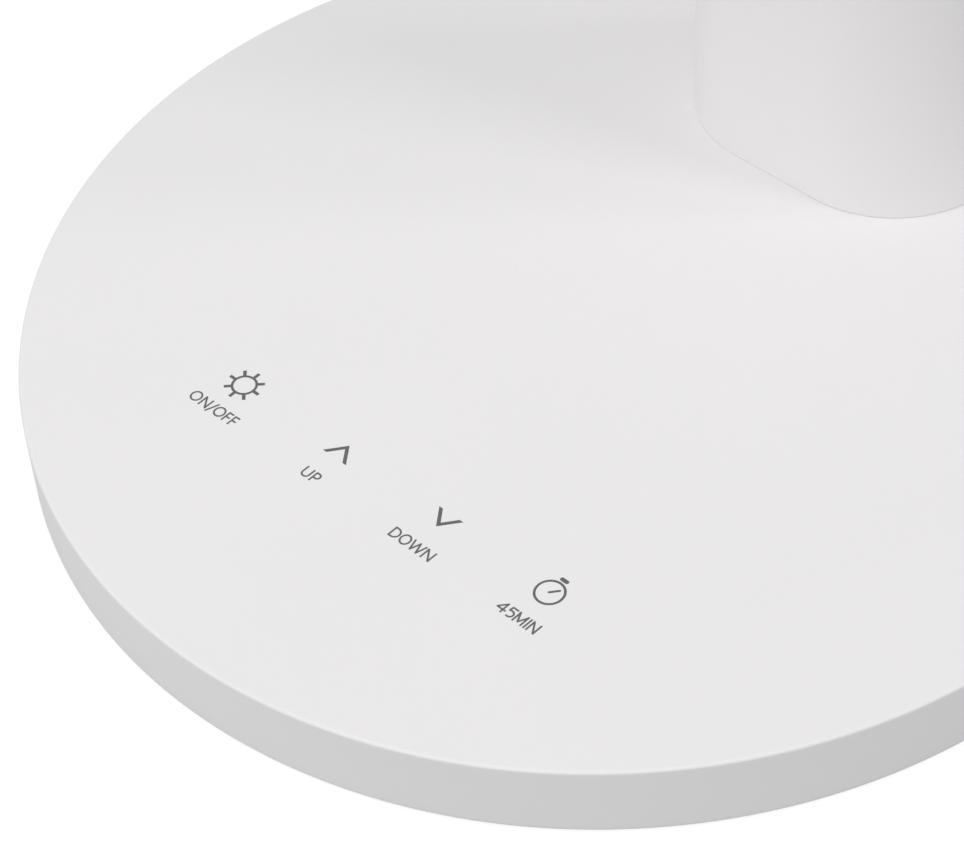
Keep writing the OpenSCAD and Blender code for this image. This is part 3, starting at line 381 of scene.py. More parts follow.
rows = bpy.data.node_groups.new("set_in_rows", "GeometryNodeTree")
ROW_SOCKETS = (("Piece", "Geometry"), ("Columns", "Int"), ("Rows", "Int"), ("Column Spacing", "Float"),
               ("Row Spacing", "Float"), ("Centre", "Vector"), ("Twist", "Float"), ("Seed", "Int"),
               ("Finish", "Material"))
FULL_TURN = 6.283
for label, kind in ROW_SOCKETS:
    rows.interface.new_socket(label, in_out="INPUT", socket_type="NodeSocket" + kind)
rows.interface.new_socket("Set", in_out="OUTPUT", socket_type="NodeSocketGeometry")
row_in = add_node(rows, "NodeGroupInput").outputs
row_spans = []
for count, spacing in (("Columns", "Column Spacing"), ("Rows", "Row Spacing")):
    gaps = add_node(rows, "ShaderNodeMath", {"operation": "SUBTRACT"}, _0=row_in[count], _1=1.0).outputs[0]
    row_spans.append(add_node(rows, "ShaderNodeMath", {"operation": "MULTIPLY"}, _0=gaps,
                              _1=row_in[spacing]).outputs[0])
row_field = add_node(rows, "GeometryNodeMeshGrid", Size_X=row_spans[0], Size_Y=row_spans[1],
                     Vertices_X=row_in["Columns"], Vertices_Y=row_in["Rows"]).outputs["Mesh"]
row_placed = add_node(rows, "GeometryNodeTransform", Geometry=row_field,
                      Translation=row_in["Centre"]).outputs[0]
row_copies = add_node(rows, "GeometryNodeInstanceOnPoints", Points=row_placed,
                      Instance=row_in["Piece"]).outputs[0]
row_angle = add_node(rows, "FunctionNodeRandomValue", {"data_type": "FLOAT"}, _2=0.0, _3=row_in["Twist"],
                     Seed=row_in["Seed"]).outputs[1]
row_spin = add_node(rows, "ShaderNodeCombineXYZ", Z=row_angle).outputs[0]
row_twist = add_node(rows, "FunctionNodeEulerToRotation", Euler=row_spin).outputs[0]
row_twisted = add_node(rows, "GeometryNodeRotateInstances", Instances=row_copies,
                       Rotation=row_twist).outputs[0]
row_real = add_node(rows, "GeometryNodeRealizeInstances", Geometry=row_twisted).outputs[0]
row_finished = add_node(rows, "GeometryNodeSetMaterial", Geometry=row_real,
                        Material=row_in["Finish"]).outputs[0]
add_node(rows, "NodeGroupOutput", Set=row_finished)


def set_in_rows(name, single, material, body, node, slot, **values):
    """Copies of one piece in rows and columns, in millimetres, as one mesh that stands for a CAD node."""
    mesh = solid_mesh("rough", single)
    rough = rough_object(mesh)
    step = rough.modifiers.new("rows", "NODES")
    step.node_group = rows
    sockets = {item.name: item.identifier for item in rows.interface.items_tree if item.in_out == "INPUT"}
    values = {"Twist": FULL_TURN, "Seed": 4, **values}
    for label, value in values.items():
        step[sockets[label]] = value
    for label in ("Column Spacing", "Row Spacing"):
        step[sockets[label]] = values[label] * MM
    step[sockets["Centre"]] = [x * MM for x in values["Centre"]]
    step[sockets["Finish"]] = material
    result = worked(rough)
    bpy.data.meshes.remove(mesh)
    seated(name, result, body, node, slot=slot)


def sunk_section(head_d, shank_d):
    """Section of a countersunk head, from its flat face to the shank."""
    land = 0.12
    return [(head_d / 2 - land, 0), (head_d / 2, land), (shank_d / 2, head_d / 2 - shank_d / 2)]


BASE_SCREW_L = 9.5
base_screw = cross_screw(SUNK_D, SHANK_D, BASE_SCREW_L, sunk_section(SUNK_D, SHANK_D))
set_in_rows("base_screw_set", base_screw, plated_steel, "base", "base_screws", "steel",
            **{"Columns": 2, "Rows": 2, "Column Spacing": 2 * SCREW_RING_X, "Row Spacing": 2 * SCREW_RING_X,
               "Centre": (0, 0, PLATE_LOW)})

# Counterweight: a rough iron casting that fills most of the base and keeps the lamp upright.
# Its pockets clear the control board, the inlet, the lead and the flange screws.


def dressed(material, *nodes):
    """Gives CAD nodes whose shape is right their material."""
    for name in nodes:
        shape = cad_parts[name].data
        shape.materials.clear()
        shape.materials.append(material)


cast_iron = finish("cast_iron", pebbled, ((0.05, 0.048, 0.047), (0.13, 0.125, 0.12)), (0.55, 0.8), 0.12,
                   {"Pebbles": 700.0, "Patches": 90.0}, Metallic=0.7)
dressed(cast_iron, "ballast_plate")

# Circuit boards: glass fibre under green resist, with the touch pads as bare copper foil.
# The touch board is bonded under the top face, and the control board stands on the plate's posts.
tracks, tracks_in = pattern_group("board_tracks", {"Vector": (0, 0, 0), "Tracks": 420.0})
track_bricks = add_node(tracks, "ShaderNodeTexBrick", {"offset": 0.37}, Vector=tracks_in["Vector"],
                        Scale=tracks_in["Tracks"], Mortar_Size=0.03, Brick_Width=1.9, Row_Height=0.45)
track_haze = add_node(tracks, "ShaderNodeTexNoise", Vector=tracks_in["Vector"], Scale=700.0,
                      Detail=2.0).outputs[0]
track_tone = add_node(tracks, "ShaderNodeMath", {"operation": "MULTIPLY"}, _0=track_bricks.outputs["Fac"],
                      _1=track_haze).outputs[0]
add_node(tracks, "NodeGroupOutput", Tone=track_tone, Rough=track_haze, Height=track_bricks.outputs["Fac"])
green_resist = finish("green_resist", tracks, ((0.012, 0.09, 0.04), (0.04, 0.2, 0.09)), (0.25, 0.4), 0.02,
                      {"Tracks": 420.0}, Specular_IOR_Level=0.6)
white_resist = finish("white_resist", tracks, ((0.82, 0.82, 0.8), (0.74, 0.74, 0.72)), (0.3, 0.45), 0.02,
                      {"Tracks": 260.0})
copper_foil = finish("copper_foil", brushed, ((0.82, 0.42, 0.26), (0.62, 0.28, 0.16)), (0.25, 0.4), 0.004,
                     {"Stretch": (1.0, 0.1, 1.0), "Lines": 2600.0, "Patches": 220.0}, Metallic=1.0)
black_plastic = finish("black_plastic", moulded, ((0.014, 0.014, 0.015), (0.022, 0.022, 0.023)), (0.35, 0.55),
                       0.01, {"Grain": 3000.0, "Patches": 120.0}, Specular_IOR_Level=0.45)
dressed(green_resist, "touch_board", "control_board")
dressed(copper_foil, "touch_electrodes")
dressed(black_plastic, "control_parts")

# Power inlet: a black moulded block on the plate, with a round nose in the side wall.
# A turned brass pin with a rounded tip stands in its bore and takes a barrel plug.
INLET_Z, NOSE_R, BORE_R, MOUTH_Y, FLOOR_Y, SHOULDER_Y, BACK_Y = 6.9, 3.5, 2.8, 89.7, 79.7, 87.38, 75.7
BLOCK_HALF, BLOCK_TOP, BLOCK_EDGE, NOSE_EDGE, BORE_EDGE = 4.5, 10.4, 0.3, 0.25, 0.3
PIN_R, PIN_TIP_Y, PIN_ROUND, PIN_FOOT_R, PIN_FOOT_L = 1.0, 88.7, 0.6, 1.5, 3.0
TO_REAR = Matrix.Translation((0, 0, INLET_Z)) @ Matrix.Rotation(math.radians(-90), 4, "X")


def moved(skin, matrix):
    bmesh.ops.transform(skin, matrix=matrix, verts=skin.verts)
    return skin


def block(low, high, edge=0.0):
    """A box between two corners, with its upright edges and its rims cut back by edge."""
    (x0, y0, z0), (x1, y1, z1) = low, high

    def rim(inset, z):
        a, b, c, d = x0 + inset, x1 - inset, y0 + inset, y1 - inset
        return [(a + edge, c, z), (b - edge, c, z), (b, c + edge, z), (b, d - edge, z), (b - edge, d, z),
                (a + edge, d, z), (a, d - edge, z), (a, c + edge, z)]

    if not edge:
        return skinned([[(x0, y0, z), (x1, y0, z), (x1, y1, z), (x0, y1, z)] for z in (z0, z1)])
    return skinned([rim(edge, z0), rim(0, z0 + edge), rim(0, z1 - edge), rim(edge, z1)])


inlet_block = block((-BLOCK_HALF, BACK_Y, PLATE_TOP), (BLOCK_HALF, SHOULDER_Y, BLOCK_TOP), BLOCK_EDGE)
inlet_nose = moved(turned([(NOSE_R, SHOULDER_Y - OVERLAP), (NOSE_R, MOUTH_Y - NOSE_EDGE),
                           (NOSE_R - NOSE_EDGE, MOUTH_Y)], 64), TO_REAR)
bore_section = [(PIN_FOOT_R + FIT, FLOOR_Y - PIN_FOOT_L), (PIN_FOOT_R + FIT, FLOOR_Y), (BORE_R, FLOOR_Y),
                (BORE_R, MOUTH_Y - BORE_EDGE), (BORE_R + BORE_EDGE + 0.2, MOUTH_Y + 0.2)]
inlet_bore = moved(turned(bore_section, 64), TO_REAR)
made_piece("dc_jack_block", shaped(inlet_block, add=[inlet_nose], cut=[inlet_bore]), black_plastic, "base",
           "dc_jack", slot="black_plastic")
turned_brass = finish("turned_brass", brushed, ((0.78, 0.58, 0.27), (0.6, 0.42, 0.17)), (0.2, 0.34), 0.003,
                      {"Stretch": (0.1, 1.0, 0.1), "Lines": 5000.0, "Patches": 300.0}, Metallic=1.0)
pin_section = ([(PIN_FOOT_R, FLOOR_Y - PIN_FOOT_L), (PIN_FOOT_R, FLOOR_Y), (PIN_R, FLOOR_Y)]
               + round_over((PIN_R - PIN_ROUND, PIN_TIP_Y - PIN_ROUND), PIN_ROUND, 0, 80))
made_piece("dc_jack_contact", moved(turned(pin_section, 40), TO_REAR), turned_brass, "base", "dc_jack_pin",
           slot="brass")

# Leads inside the lamp: copper wires in a soft moulded sheath, laid in the base and up through the tube.
# The two in the base are black, and those in the column and the light bar are white.
lead_grain = {"Grain": 1800.0, "Patches": 150.0}
black_lead = finish("black_lead", moulded, ((0.016, 0.016, 0.017), (0.026, 0.026, 0.027)), (0.5, 0.65), 0.01,
                    lead_grain)
white_lead = finish("white_lead", moulded, ((0.78, 0.78, 0.76), (0.72, 0.72, 0.7)), (0.45, 0.6), 0.01,
                    lead_grain)
dressed(black_lead, "touch_lead", "inlet_lead")
dressed(white_lead, "stem_lead", "head_lead")

# Base shell: one satin white moulding with a flat top, a fine rounded rim and an upright side wall.
# Bosses inside take the plate's screws. The top is open under the column, and the wall at the inlet.
BASE_R, BASE_LOW, BASE_TOP, BASE_INNER_R, BASE_CEILING, RIM_R = 90.0, 0.6, 13.0, 87.8, 10.8, 0.5
COVER_SIDES, LOW_EDGE, CEILING_R, BOSS_R = 432, 0.3, 0.8, 3.5
STEM_Y, STEM_HOLE_R, INLET_HOLE_R, INLET_HOLE_EDGE = 58.6, 9.0, 3.8, 0.25
base_section = ([(BASE_INNER_R - CEILING_R - 0.4, BASE_CEILING)]
                + round_over((BASE_INNER_R - CEILING_R, BASE_CEILING - CEILING_R), CEILING_R, 90, 0, 6)
                + [(BASE_INNER_R, BASE_LOW + LOW_EDGE), (BASE_INNER_R + LOW_EDGE, BASE_LOW)]
                + [(BASE_R - 2 * LOW_EDGE, BASE_LOW)]
                + round_over((BASE_R - LOW_EDGE, BASE_LOW + LOW_EDGE), LOW_EDGE, -90, 0, 4)
                + [(BASE_R, BASE_LOW + LOW_EDGE + 0.5), (BASE_R, BASE_TOP - RIM_R - 0.5)]
                + round_over((BASE_R - RIM_R, BASE_TOP - RIM_R), RIM_R, 0, 90, 12)
                + [(BASE_R - RIM_R - 0.4, BASE_TOP)])


def upright(radius, low, high, sides, centre):
    """A plain round post, or the cutter of a plain round hole."""
    return turned([(radius, low), (radius, high)], sides, centre)


base_bosses = [upright(BOSS_R, PLATE_TOP, BASE_CEILING + OVERLAP, 48, c) for c in corners]
base_cuts = [upright(SHANK_D / 2 + FIT, PLATE_TOP - PAST, BASE_CEILING, 32, c) for c in corners]
base_cuts.append(upright(STEM_HOLE_R, BASE_CEILING - PAST, BASE_TOP + PAST, 64, (0, STEM_Y)))
base_cuts.append(moved(turned([(INLET_HOLE_R, BASE_INNER_R - PAST), (INLET_HOLE_R, BASE_R - INLET_HOLE_EDGE),
                               (INLET_HOLE_R + 2 * INLET_HOLE_EDGE, BASE_R + INLET_HOLE_EDGE)], 64), TO_REAR))
base_cover = shaped(turned(base_section, COVER_SIDES), add=base_bosses, cut=base_cuts)
made_piece("base_cover_moulding", base_cover, white_plastic, "base", "base_cover", slot="white_plastic")

# Printed keys: dark grey ink, screen printed on the top face over the four touch pads.
# A sun switches the light, chevrons make it brighter or dimmer, and a stopwatch sets the timer.
INK_T, LETTER_W, ICON_W, RAY_W = 0.02, 0.29, 0.4, 0.53
CAP_TOP, CAP_LOW, CAP_MID = -5.24, -7.28, -6.26
KEY_ROW = Matrix.Translation((0.753, -47.710, BASE_TOP)) @ Matrix.Rotation(math.radians(-0.68), 4, "Z")


def arc(centre, half, start, end, steps=24):
    """Points along part of an ellipse, from one angle to another, in degrees."""
    angles = [math.radians(start + (end - start) * k / steps) for k in range(steps + 1)]
    return [(centre[0] + half[0] * math.cos(a), centre[1] + half[1] * math.sin(a)) for a in angles]


def strip(points, width):
    """Quads along a line of points with a stroke's width, mitred where the line bends."""
    line = [Vector(p) for k, p in enumerate(points) if not k or math.dist(p, points[k - 1]) > 1e-6]
    loop = (line[0] - line[-1]).length < 1e-6
    if loop:
        line = line[:-1]
    sides, count = [], len(line)
    for k, point in enumerate(line):
        before = line[k - 1] if loop or k else point
        after = line[(k + 1) % count] if loop or k < count - 1 else point
        steps = [v.normalized() for v in (point - before, after - point) if v.length > 1e-9]
        normals = [Vector((-v.y, v.x)) for v in steps]
        across = sum(normals, Vector((0, 0))).normalized()
        across *= width / 2 / max(across.dot(normals[0]), 0.4)
        sides.append((point + across, point - across))
    joints = range(count if loop else count - 1)
    return [(sides[k][0], sides[(k + 1) % count][0], sides[(k + 1) % count][1], sides[k][1]) for k in joints]


def dot(centre, radius, sides=16):
    return [tuple(p[:2]) for p in circle(radius, 0, sides, centre)]


def letter(kind, x, w):
    """Strokes of one capital or figure whose left stroke stands at x and whose right one is w further."""
    top, low, mid, r = CAP_TOP, CAP_LOW, CAP_MID, x + w
    t, b = top - LETTER_W / 2, low + LETTER_W / 2
    return {
        "O": [arc((x + w / 2, mid), (w / 2, 0.91), 0, 360, 40)],
        "N": [[(x, low), (x, top)], [(x, t + 0.06), (r, b - 0.06)], [(r, low), (r, top)]],
        "/": [[(x, low - 0.28), (r, top)]],
        "F": [[(x, low), (x, top)], [(x, t), (r, t)], [(x, mid), (r - 0.04, mid)]],
        "U": [[(x, top), (x, b + w / 2)] + arc((x + w / 2, b + w / 2), (w / 2, w / 2), 180, 360, 20)
              + [(r, top)]],
        "P": [[(x, low), (x, top)], [(x, t), (x + w * 0.45, t)]
              + arc((x + w * 0.45, t - 0.5), (w * 0.55, 0.5), 90, -90, 20)[1:] + [(x, t - 1.0)]],
        "D": [[(x, low), (x, top)], [(x, t), (x + w * 0.3, t)]
              + arc((x + w * 0.3, mid), (w * 0.7, t - mid), 90, -90, 24)[1:] + [(x, b)]],
        "W": [[(x, top), (x + w * 0.24, b - 0.02)], [(x + w * 0.24, b - 0.02), (x + w * 0.5, t)],
              [(x + w * 0.5, t), (x + w * 0.76, b - 0.02)], [(x + w * 0.76, b - 0.02), (r, top)]],
        "4": [[(r - 0.42, low), (r - 0.42, top)], [(r - 0.42, t), (x, b + 0.56)],
              [(x, b + 0.5), (r, b + 0.5)]],
        "5": [[(r - 0.02, t), (x + 0.16, t)], [(x + 0.16, t), (x + 0.06, mid + 0.22)],
              [(x + 0.06, mid + 0.22)] + arc((x + w * 0.42, b + 0.58), (w * 0.58, 0.58), 110, -115, 24)],
        "M": [[(x, low), (x, top)], [(x, t), (x + w / 2, b + 0.2)], [(x + w / 2, b + 0.2), (r, t)],
              [(r, low), (r, top)]],
        "I": [[(x, low), (x, top)]],
    }[kind]


def printed_key(name, shapes, letters):
    """One key's icon and legend as a thin film of ink, with overlapping strokes made one."""
    quads = list(shapes)
    for kind, x, w in letters:
        for line in letter(kind, x, w):
            quads += strip(line, LETTER_W)
            if kind in "NWM45" and len(line) == 2:
                quads += [dot(end, LETTER_W / 2) for end in line if CAP_LOW + 0.1 < end[1] < CAP_TOP - 0.1]
    points, faces = [], []
    for quad in quads:
        turn = sum(a[0] * b[1] - a[1] * b[0] for a, b in zip(quad, [*quad[1:], quad[0]]))
        faces.append(list(range(len(points), len(points) + len(quad))))
        points += [Vector(p) for p in (quad if turn > 0 else quad[::-1])]
    flat, _, triangles, _, _, sources = delaunay_2d_cdt(points, [], faces, 0, 1e-5)
    film = bmesh.new()
    corners_at = [film.verts.new((v.x, v.y, 0)) for v in flat]
    kept = [film.faces.new([corners_at[k] for k in tri]) for tri, source in zip(triangles, sources) if source]
    for vert in [v for v in film.verts if not v.link_faces]:
        film.verts.remove(vert)
    raised = bmesh.ops.extrude_face_region(film, geom=kept)
    lifted = [item for item in raised["geom"] if isinstance(item, bmesh.types.BMVert)]
    bmesh.ops.translate(film, vec=(0, 0, INK_T), verts=lifted)
    made_piece(name, moved(film, KEY_ROW), key_ink, "base")


key_ink = finish("key_ink", moulded, ((0.115, 0.112, 0.112), (0.135, 0.13, 0.13)), (0.5, 0.7), 0.004,
                 {"Grain": 5000.0, "Patches": 900.0}, Specular_IOR_Level=0.35)
SUN, SUN_R, RAY_FROM, RAY_TO = (-31.63, 0), (1.88, 1.86), 1.9, 3.1
sun_shapes = strip(arc(SUN, SUN_R, 0, 360, 64), ICON_W)
for k in range(8):
    ray = Vector((math.cos(k * math.pi / 4), math.sin(k * math.pi / 4)))
    sun_shapes += strip([Vector(SUN) + ray * RAY_FROM, Vector(SUN) + ray * RAY_TO], RAY_W)
printed_key("key_light", sun_shapes, [("O", -36.30, 1.7), ("N", -34.03, 1.35), ("/", -32.27, 0.83),
                                      ("O", -31.15, 1.69), ("F", -28.96, 0.87), ("F", -27.65, 0.87)])
CHEVRON_HALF, CHEVRON_H, CHEVRON_INNER, CHEVRON_T = 2.42, 3.12, 1.7, 0.92


def chevron(tip, way):
    """A chevron with level feet that points up the base, or down it where way is -1."""
    def at(x, y):
        return (tip[0] + x, tip[1] - way * y)

    return [(at(0, 0), at(s * CHEVRON_HALF, CHEVRON_H), at(s * CHEVRON_INNER, CHEVRON_H), at(0, CHEVRON_T))
            for s in (-1, 1)]


printed_key("key_brighter", chevron((-10.5, 1.54), 1), [("U", -12.03, 1.29), ("P", -10.10, 1.0)])
printed_key("key_dimmer", chevron((10.52, -1.54), -1), [("D", 6.41, 1.35), ("O", 8.23, 1.59),
                                                         ("W", 10.19, 2.3), ("N", 12.95, 1.41)])
DIAL, DIAL_R, DIAL_W = (31.59, 0), (2.19, 2.22), 0.38
HAND = ((31.5, -0.05), (32.46, 1.14))
BUTTON_RIGHT, BUTTON_LEFT, BUTTON_Y, BUTTON_R = 32.17, 31.15, 2.97, (0.26, 0.33)
dial_shapes = strip(arc(DIAL, DIAL_R, 0, 360, 64), DIAL_W) + strip(HAND, DIAL_W)
dial_shapes += [dot(end, DIAL_W / 2) for end in HAND]
dial_shapes.append([p for x, start in ((BUTTON_RIGHT, -90), (BUTTON_LEFT, 90))
                    for p in arc((x, BUTTON_Y), BUTTON_R, start, start + 180, 10)])
printed_key("key_timer", dial_shapes, [("4", 27.78, 1.46), ("5", 29.58, 1.12), ("M", 31.17, 1.53),
                                       ("I", 33.28, 0), ("N", 33.82, 1.28)])

# Column core: a steel flange on the counterweight, four screws through it, and a tube that carries the neck.
# The tube is drawn steel and keeps fine lines along its length.
drawn_steel = finish("drawn_steel", brushed, ((0.55, 0.55, 0.57), (0.4, 0.4, 0.42)), (0.28, 0.45), 0.01,
                     {"Stretch": (1.0, 1.0, 0.02), "Lines": 1500.0, "Patches": 60.0}, Metallic=1.0)
dressed(drawn_steel, "stem_flange", "stem_post")
dressed(plated_steel, "flange_screws")

# Column halves: satin white mouldings with a foot of large rounded corners that tapers to a round neck.
# They meet in a fine seam at the sides, and bosses inside take two long screws from the rear.
STEM_H, STEM_WALL, NECK_D = 340.0, 2.2, 28.0
FOOT_W, FOOT_L, FOOT_R = 55.0, 40.0, 19.5
STEM_EDGE, STEM_SEAM, STEM_CHAMFER = 0.5, 0.14, 0.14
STEM_SCREW_H = (46.0, 250.0)
STEM_BOSS_FROM, FRONT_BOSS_R, REAR_BOSS_R = 8.3, 3.5, 4.1
STEM_SEAT, SEAT_R, SEAT_EDGE, PASSAGE_R = 3.2, 3.1, 0.25, 1.8


def stem_half_depth(h):
    return (FOOT_L + (NECK_D - FOOT_L) * h / STEM_H) / 2


def stem_outline(h, inset, seam):
    """Half of the column's outline at height h, from its right seam round the front to its left seam."""
    t = h / STEM_H
    a = (FOOT_W + (NECK_D - FOOT_W) * t) / 2 - inset
    b = stem_half_depth(h) - inset
    r = min(FOOT_R + (NECK_D / 2 - FOOT_R) * t - inset, a, b)
    right = [(a - seam, 0), (a, -seam)] if seam else [(a, 0)]
    right += [(a, -(seam + (b - r - seam) * k / 3)) for k in (1, 2)] if b - r > seam else [(a, -seam)] * 2
    right += arc((a - r, r - b), (r, r), 0, -90, 20)
    return right + [(-x, y) for x, y in reversed(right)]


def stem_half(side):
    """One half of the column: side is -1 for the front and 1 for the rear."""
    levels = [(0, STEM_CHAMFER), (STEM_CHAMFER, 0), (1.2, 0)]
    levels += [(10.0 * k, 0) for k in range(1, 34)] + [(STEM_H - 1.5, 0)]
    levels += [(STEM_H - STEM_EDGE + z, STEM_EDGE - x) for x, z in round_over((0, 0), STEM_EDGE, 0, 90, 6)]
    rings = []
    for h, inset in levels:
        path = stem_outline(h, inset, STEM_SEAM) + stem_outline(h, STEM_WALL, 0)[::-1]
        rings.append([(x, STEM_Y - side * y, BASE_TOP + h) for x, y in path])
    return skinned(rings)


def across_stem(section, h, side, sides=48):
    """A section turned about a column screw's axis, measured from the column's axis to the front or rear."""
    tilt = Matrix.Rotation(math.radians(-90 * side), 4, "X")
    return moved(turned(section, sides), Matrix.Translation((0, STEM_Y, BASE_TOP + h)) @ tilt)


front_bosses, front_holes, rear_bosses, rear_holes = [], [], [], []
for h in STEM_SCREW_H:
    deep = stem_half_depth(h)
    boss_end = deep - STEM_WALL / 2
    front_bosses.append(across_stem([(FRONT_BOSS_R, STEM_BOSS_FROM), (FRONT_BOSS_R, boss_end)], h, -1))
    front_holes.append(across_stem([(SHANK_D / 2 + FIT, 0), (SHANK_D / 2 + FIT, deep - STEM_WALL)], h, -1))
    rear_bosses.append(across_stem([(REAR_BOSS_R, STEM_BOSS_FROM), (REAR_BOSS_R, boss_end)], h, 1))
    rear_holes.append(across_stem([(PASSAGE_R, STEM_BOSS_FROM - PAST), (PASSAGE_R, deep - STEM_SEAT),
                                   (SEAT_R, deep - STEM_SEAT), (SEAT_R, deep - SEAT_EDGE),
                                   (SEAT_R + 2 * SEAT_EDGE, deep + SEAT_EDGE),
                                   (SEAT_R + 2 * SEAT_EDGE, deep + PAST)], h, 1))
stem_front = shaped(stem_half(-1), add=front_bosses, cut=front_holes)
made_piece("stem_front_moulding", stem_front, white_plastic, "base", "stem_front_shell", slot="white_plastic")
stem_rear = shaped(stem_half(1), add=rear_bosses, cut=rear_holes)
made_piece("stem_rear_moulding", stem_rear, white_plastic, "base", "stem_rear_shell", slot="white_plastic")

# Column screws: two long plated screws with low round heads, sunk in the rear half.
# They pass through the tube and pull both halves together. The upper one is shorter, as the column tapers.
STEM_HEAD_D, STEM_HEAD_T, STEM_HEAD_R, STEM_TIP = 5.6, 2.0, 0.45, 2.5
STEM_SCREW_TWIST = (28, 71)
low_head = ([(STEM_HEAD_D / 2 - 0.6, 0)]
            + round_over((STEM_HEAD_D / 2 - STEM_HEAD_R, STEM_HEAD_R), STEM_HEAD_R, -90, 0, 5)
            + [(STEM_HEAD_D / 2, STEM_HEAD_T), (SHANK_D / 2, STEM_HEAD_T)])
stem_screws = []
for h, twist in zip(STEM_SCREW_H, STEM_SCREW_TWIST):
    deep = stem_half_depth(h)
    face_y = deep - STEM_SEAT + STEM_HEAD_T
    screw = moved(cross_screw(STEM_HEAD_D, SHANK_D, face_y + deep - STEM_TIP, low_head),
                  Matrix.Rotation(math.radians(twist), 4, "Z"))
    stem_screws.append(moved(screw, Matrix.Translation((0, STEM_Y + face_y, BASE_TOP + h))
                             @ Matrix.Rotation(math.radians(90), 4, "X")))
made_piece("stem_screw_set", joined_meshes(stem_screws), plated_steel, "base", "stem_screws", slot="steel")

# Neck bearing: a flanged bush of natural resin, pressed into the top of the tube.
# A plated steel shaft turns in it, held by a washer and a nut, and a pin limits the turn.
bearing_resin = finish("bearing_resin", moulded, ((0.8, 0.78, 0.7), (0.74, 0.72, 0.64)), (0.3, 0.45), 0.006,
                       {"Grain": 2000.0, "Patches": 120.0})
dressed(bearing_resin, "neck_bush")
dressed(plated_steel, "swivel_stop_pin", "swivel_shaft", "swivel_washer", "swivel_nut")

# Turning neck: a zinc casting with soft edges under satin white enamel.
# Its round foot turns on the column, and its two ears hold the light bar's hinge.
white_enamel = finish("white_enamel", moulded, SOFT_WHITES, (0.3, 0.4), 0.01,
                      {"Grain": 900.0, "Patches": 40.0}, Coat_Weight=0.15, Coat_Roughness=0.25)
CAST_CUBE, CAST_PASSES = 0.3, 5


def casting(name, node, material, body, slot, cut=()):
    """A CAD node's own shape, trimmed by cut, with its edges softened as a casting's are."""
    skin = bmesh.new()
    skin.from_mesh(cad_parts[node].data)
    bmesh.ops.scale(skin, vec=(1 / MM, 1 / MM, 1 / MM), verts=skin.verts)
    bmesh.ops.remove_doubles(skin, verts=skin.verts, dist=1e-4)
    mesh = solid_mesh("rough", shaped(skin, cut=cut))
    rough = rough_object(mesh)
    fine = rough.modifiers.new("fine", "REMESH")
    fine.mode, fine.voxel_size, fine.use_smooth_shade = "VOXEL", CAST_CUBE * MM, True
    soft = rough.modifiers.new("soft", "SMOOTH")
    soft.factor, soft.iterations = 0.5, CAST_PASSES
    result = worked(rough)
    bpy.data.meshes.remove(mesh)
    result.materials.clear()
    result.materials.append(material)
    seated(name, result, body, node, slot=slot)


PIVOT_Z, SLOT_HALF, SLOT_REAR, TURRET_REAR, SLOT_DROP = 376.7, 7.02, 11.5, 16.0, 9.4
rear_edge = block((-SLOT_HALF, STEM_Y + SLOT_REAR, PIVOT_Z - SLOT_DROP),
                  (SLOT_HALF, STEM_Y + TURRET_REAR, PIVOT_Z + PAST))
casting("neck_turret_casting", "neck_turret", white_enamel, "neck", "white_enamel", cut=[rear_edge])

# Hinge: a plated pin with its nut in the ears, spring washers beside the tongue, and two round caps.
# The caps are white mouldings that snap flush into the ears and hide the pin.
EAR_X, CAP_R, CAP_T, CAP_EDGE = 16.0, 6.48, 1.4, 0.3
GROOVE_IN, GROOVE_STEP, GROOVE_T = 0.8, 0.3, 0.2
dressed(plated_steel, "hinge_pin", "hinge_nut", "tilt_washers")
cap_groove = [(CAP_R - GROOVE_IN - k * GROOVE_STEP, CAP_T - deep)
              for k, deep in enumerate((0, GROOVE_T, GROOVE_T, 0, 0))]
cap_section = ([(CAP_R - 0.5, 0), (CAP_R, 0.2)]
               + round_over((CAP_R - CAP_EDGE, CAP_T - CAP_EDGE), CAP_EDGE, 0, 90, 5) + cap_groove)
caps = [moved(turned(cap_section, 64), Matrix.Translation((side * (EAR_X - CAP_T), STEM_Y, PIVOT_Z))
              @ Matrix.Rotation(math.radians(90 * side), 4, "Y")) for side in (-1, 1)]
made_piece("hinge_cap_pair", joined_meshes(caps), white_plastic, "neck", "hinge_caps", slot="white_plastic")

# Tongue: a zinc casting in the same enamel, with a barrel between the ears and a plate in the light bar.
# Four countersunk screws hold the light bar's shell to the plate.
casting("hinge_tongue_casting", "hinge_tongue", white_enamel, "head", "white_enamel")
dressed(plated_steel, "tongue_screws")

# Light source: a strip of diodes on a white board, bonded to a rolled aluminium heat spreader.
# A white moulded reflector frame round it sends the light down to the diffuser.
rolled_aluminium = finish("rolled_aluminium", brushed, ((0.78, 0.78, 0.8), (0.64, 0.64, 0.66)), (0.3, 0.45),
                          0.006, {"Stretch": (1.0, 0.03, 1.0), "Lines": 1800.0, "Patches": 60.0},
                          Metallic=1.0)
diode_phosphor = finish("diode_phosphor", pebbled, ((0.85, 0.62, 0.16), (0.9, 0.72, 0.26)), (0.3, 0.5), 0.02,
                        {"Pebbles": 2500.0, "Patches": 600.0})
dressed(rolled_aluminium, "heat_spreader")
dressed(white_resist, "led_board")
dressed(diode_phosphor, "led_chips")
dressed(white_plastic, "reflector_frame")

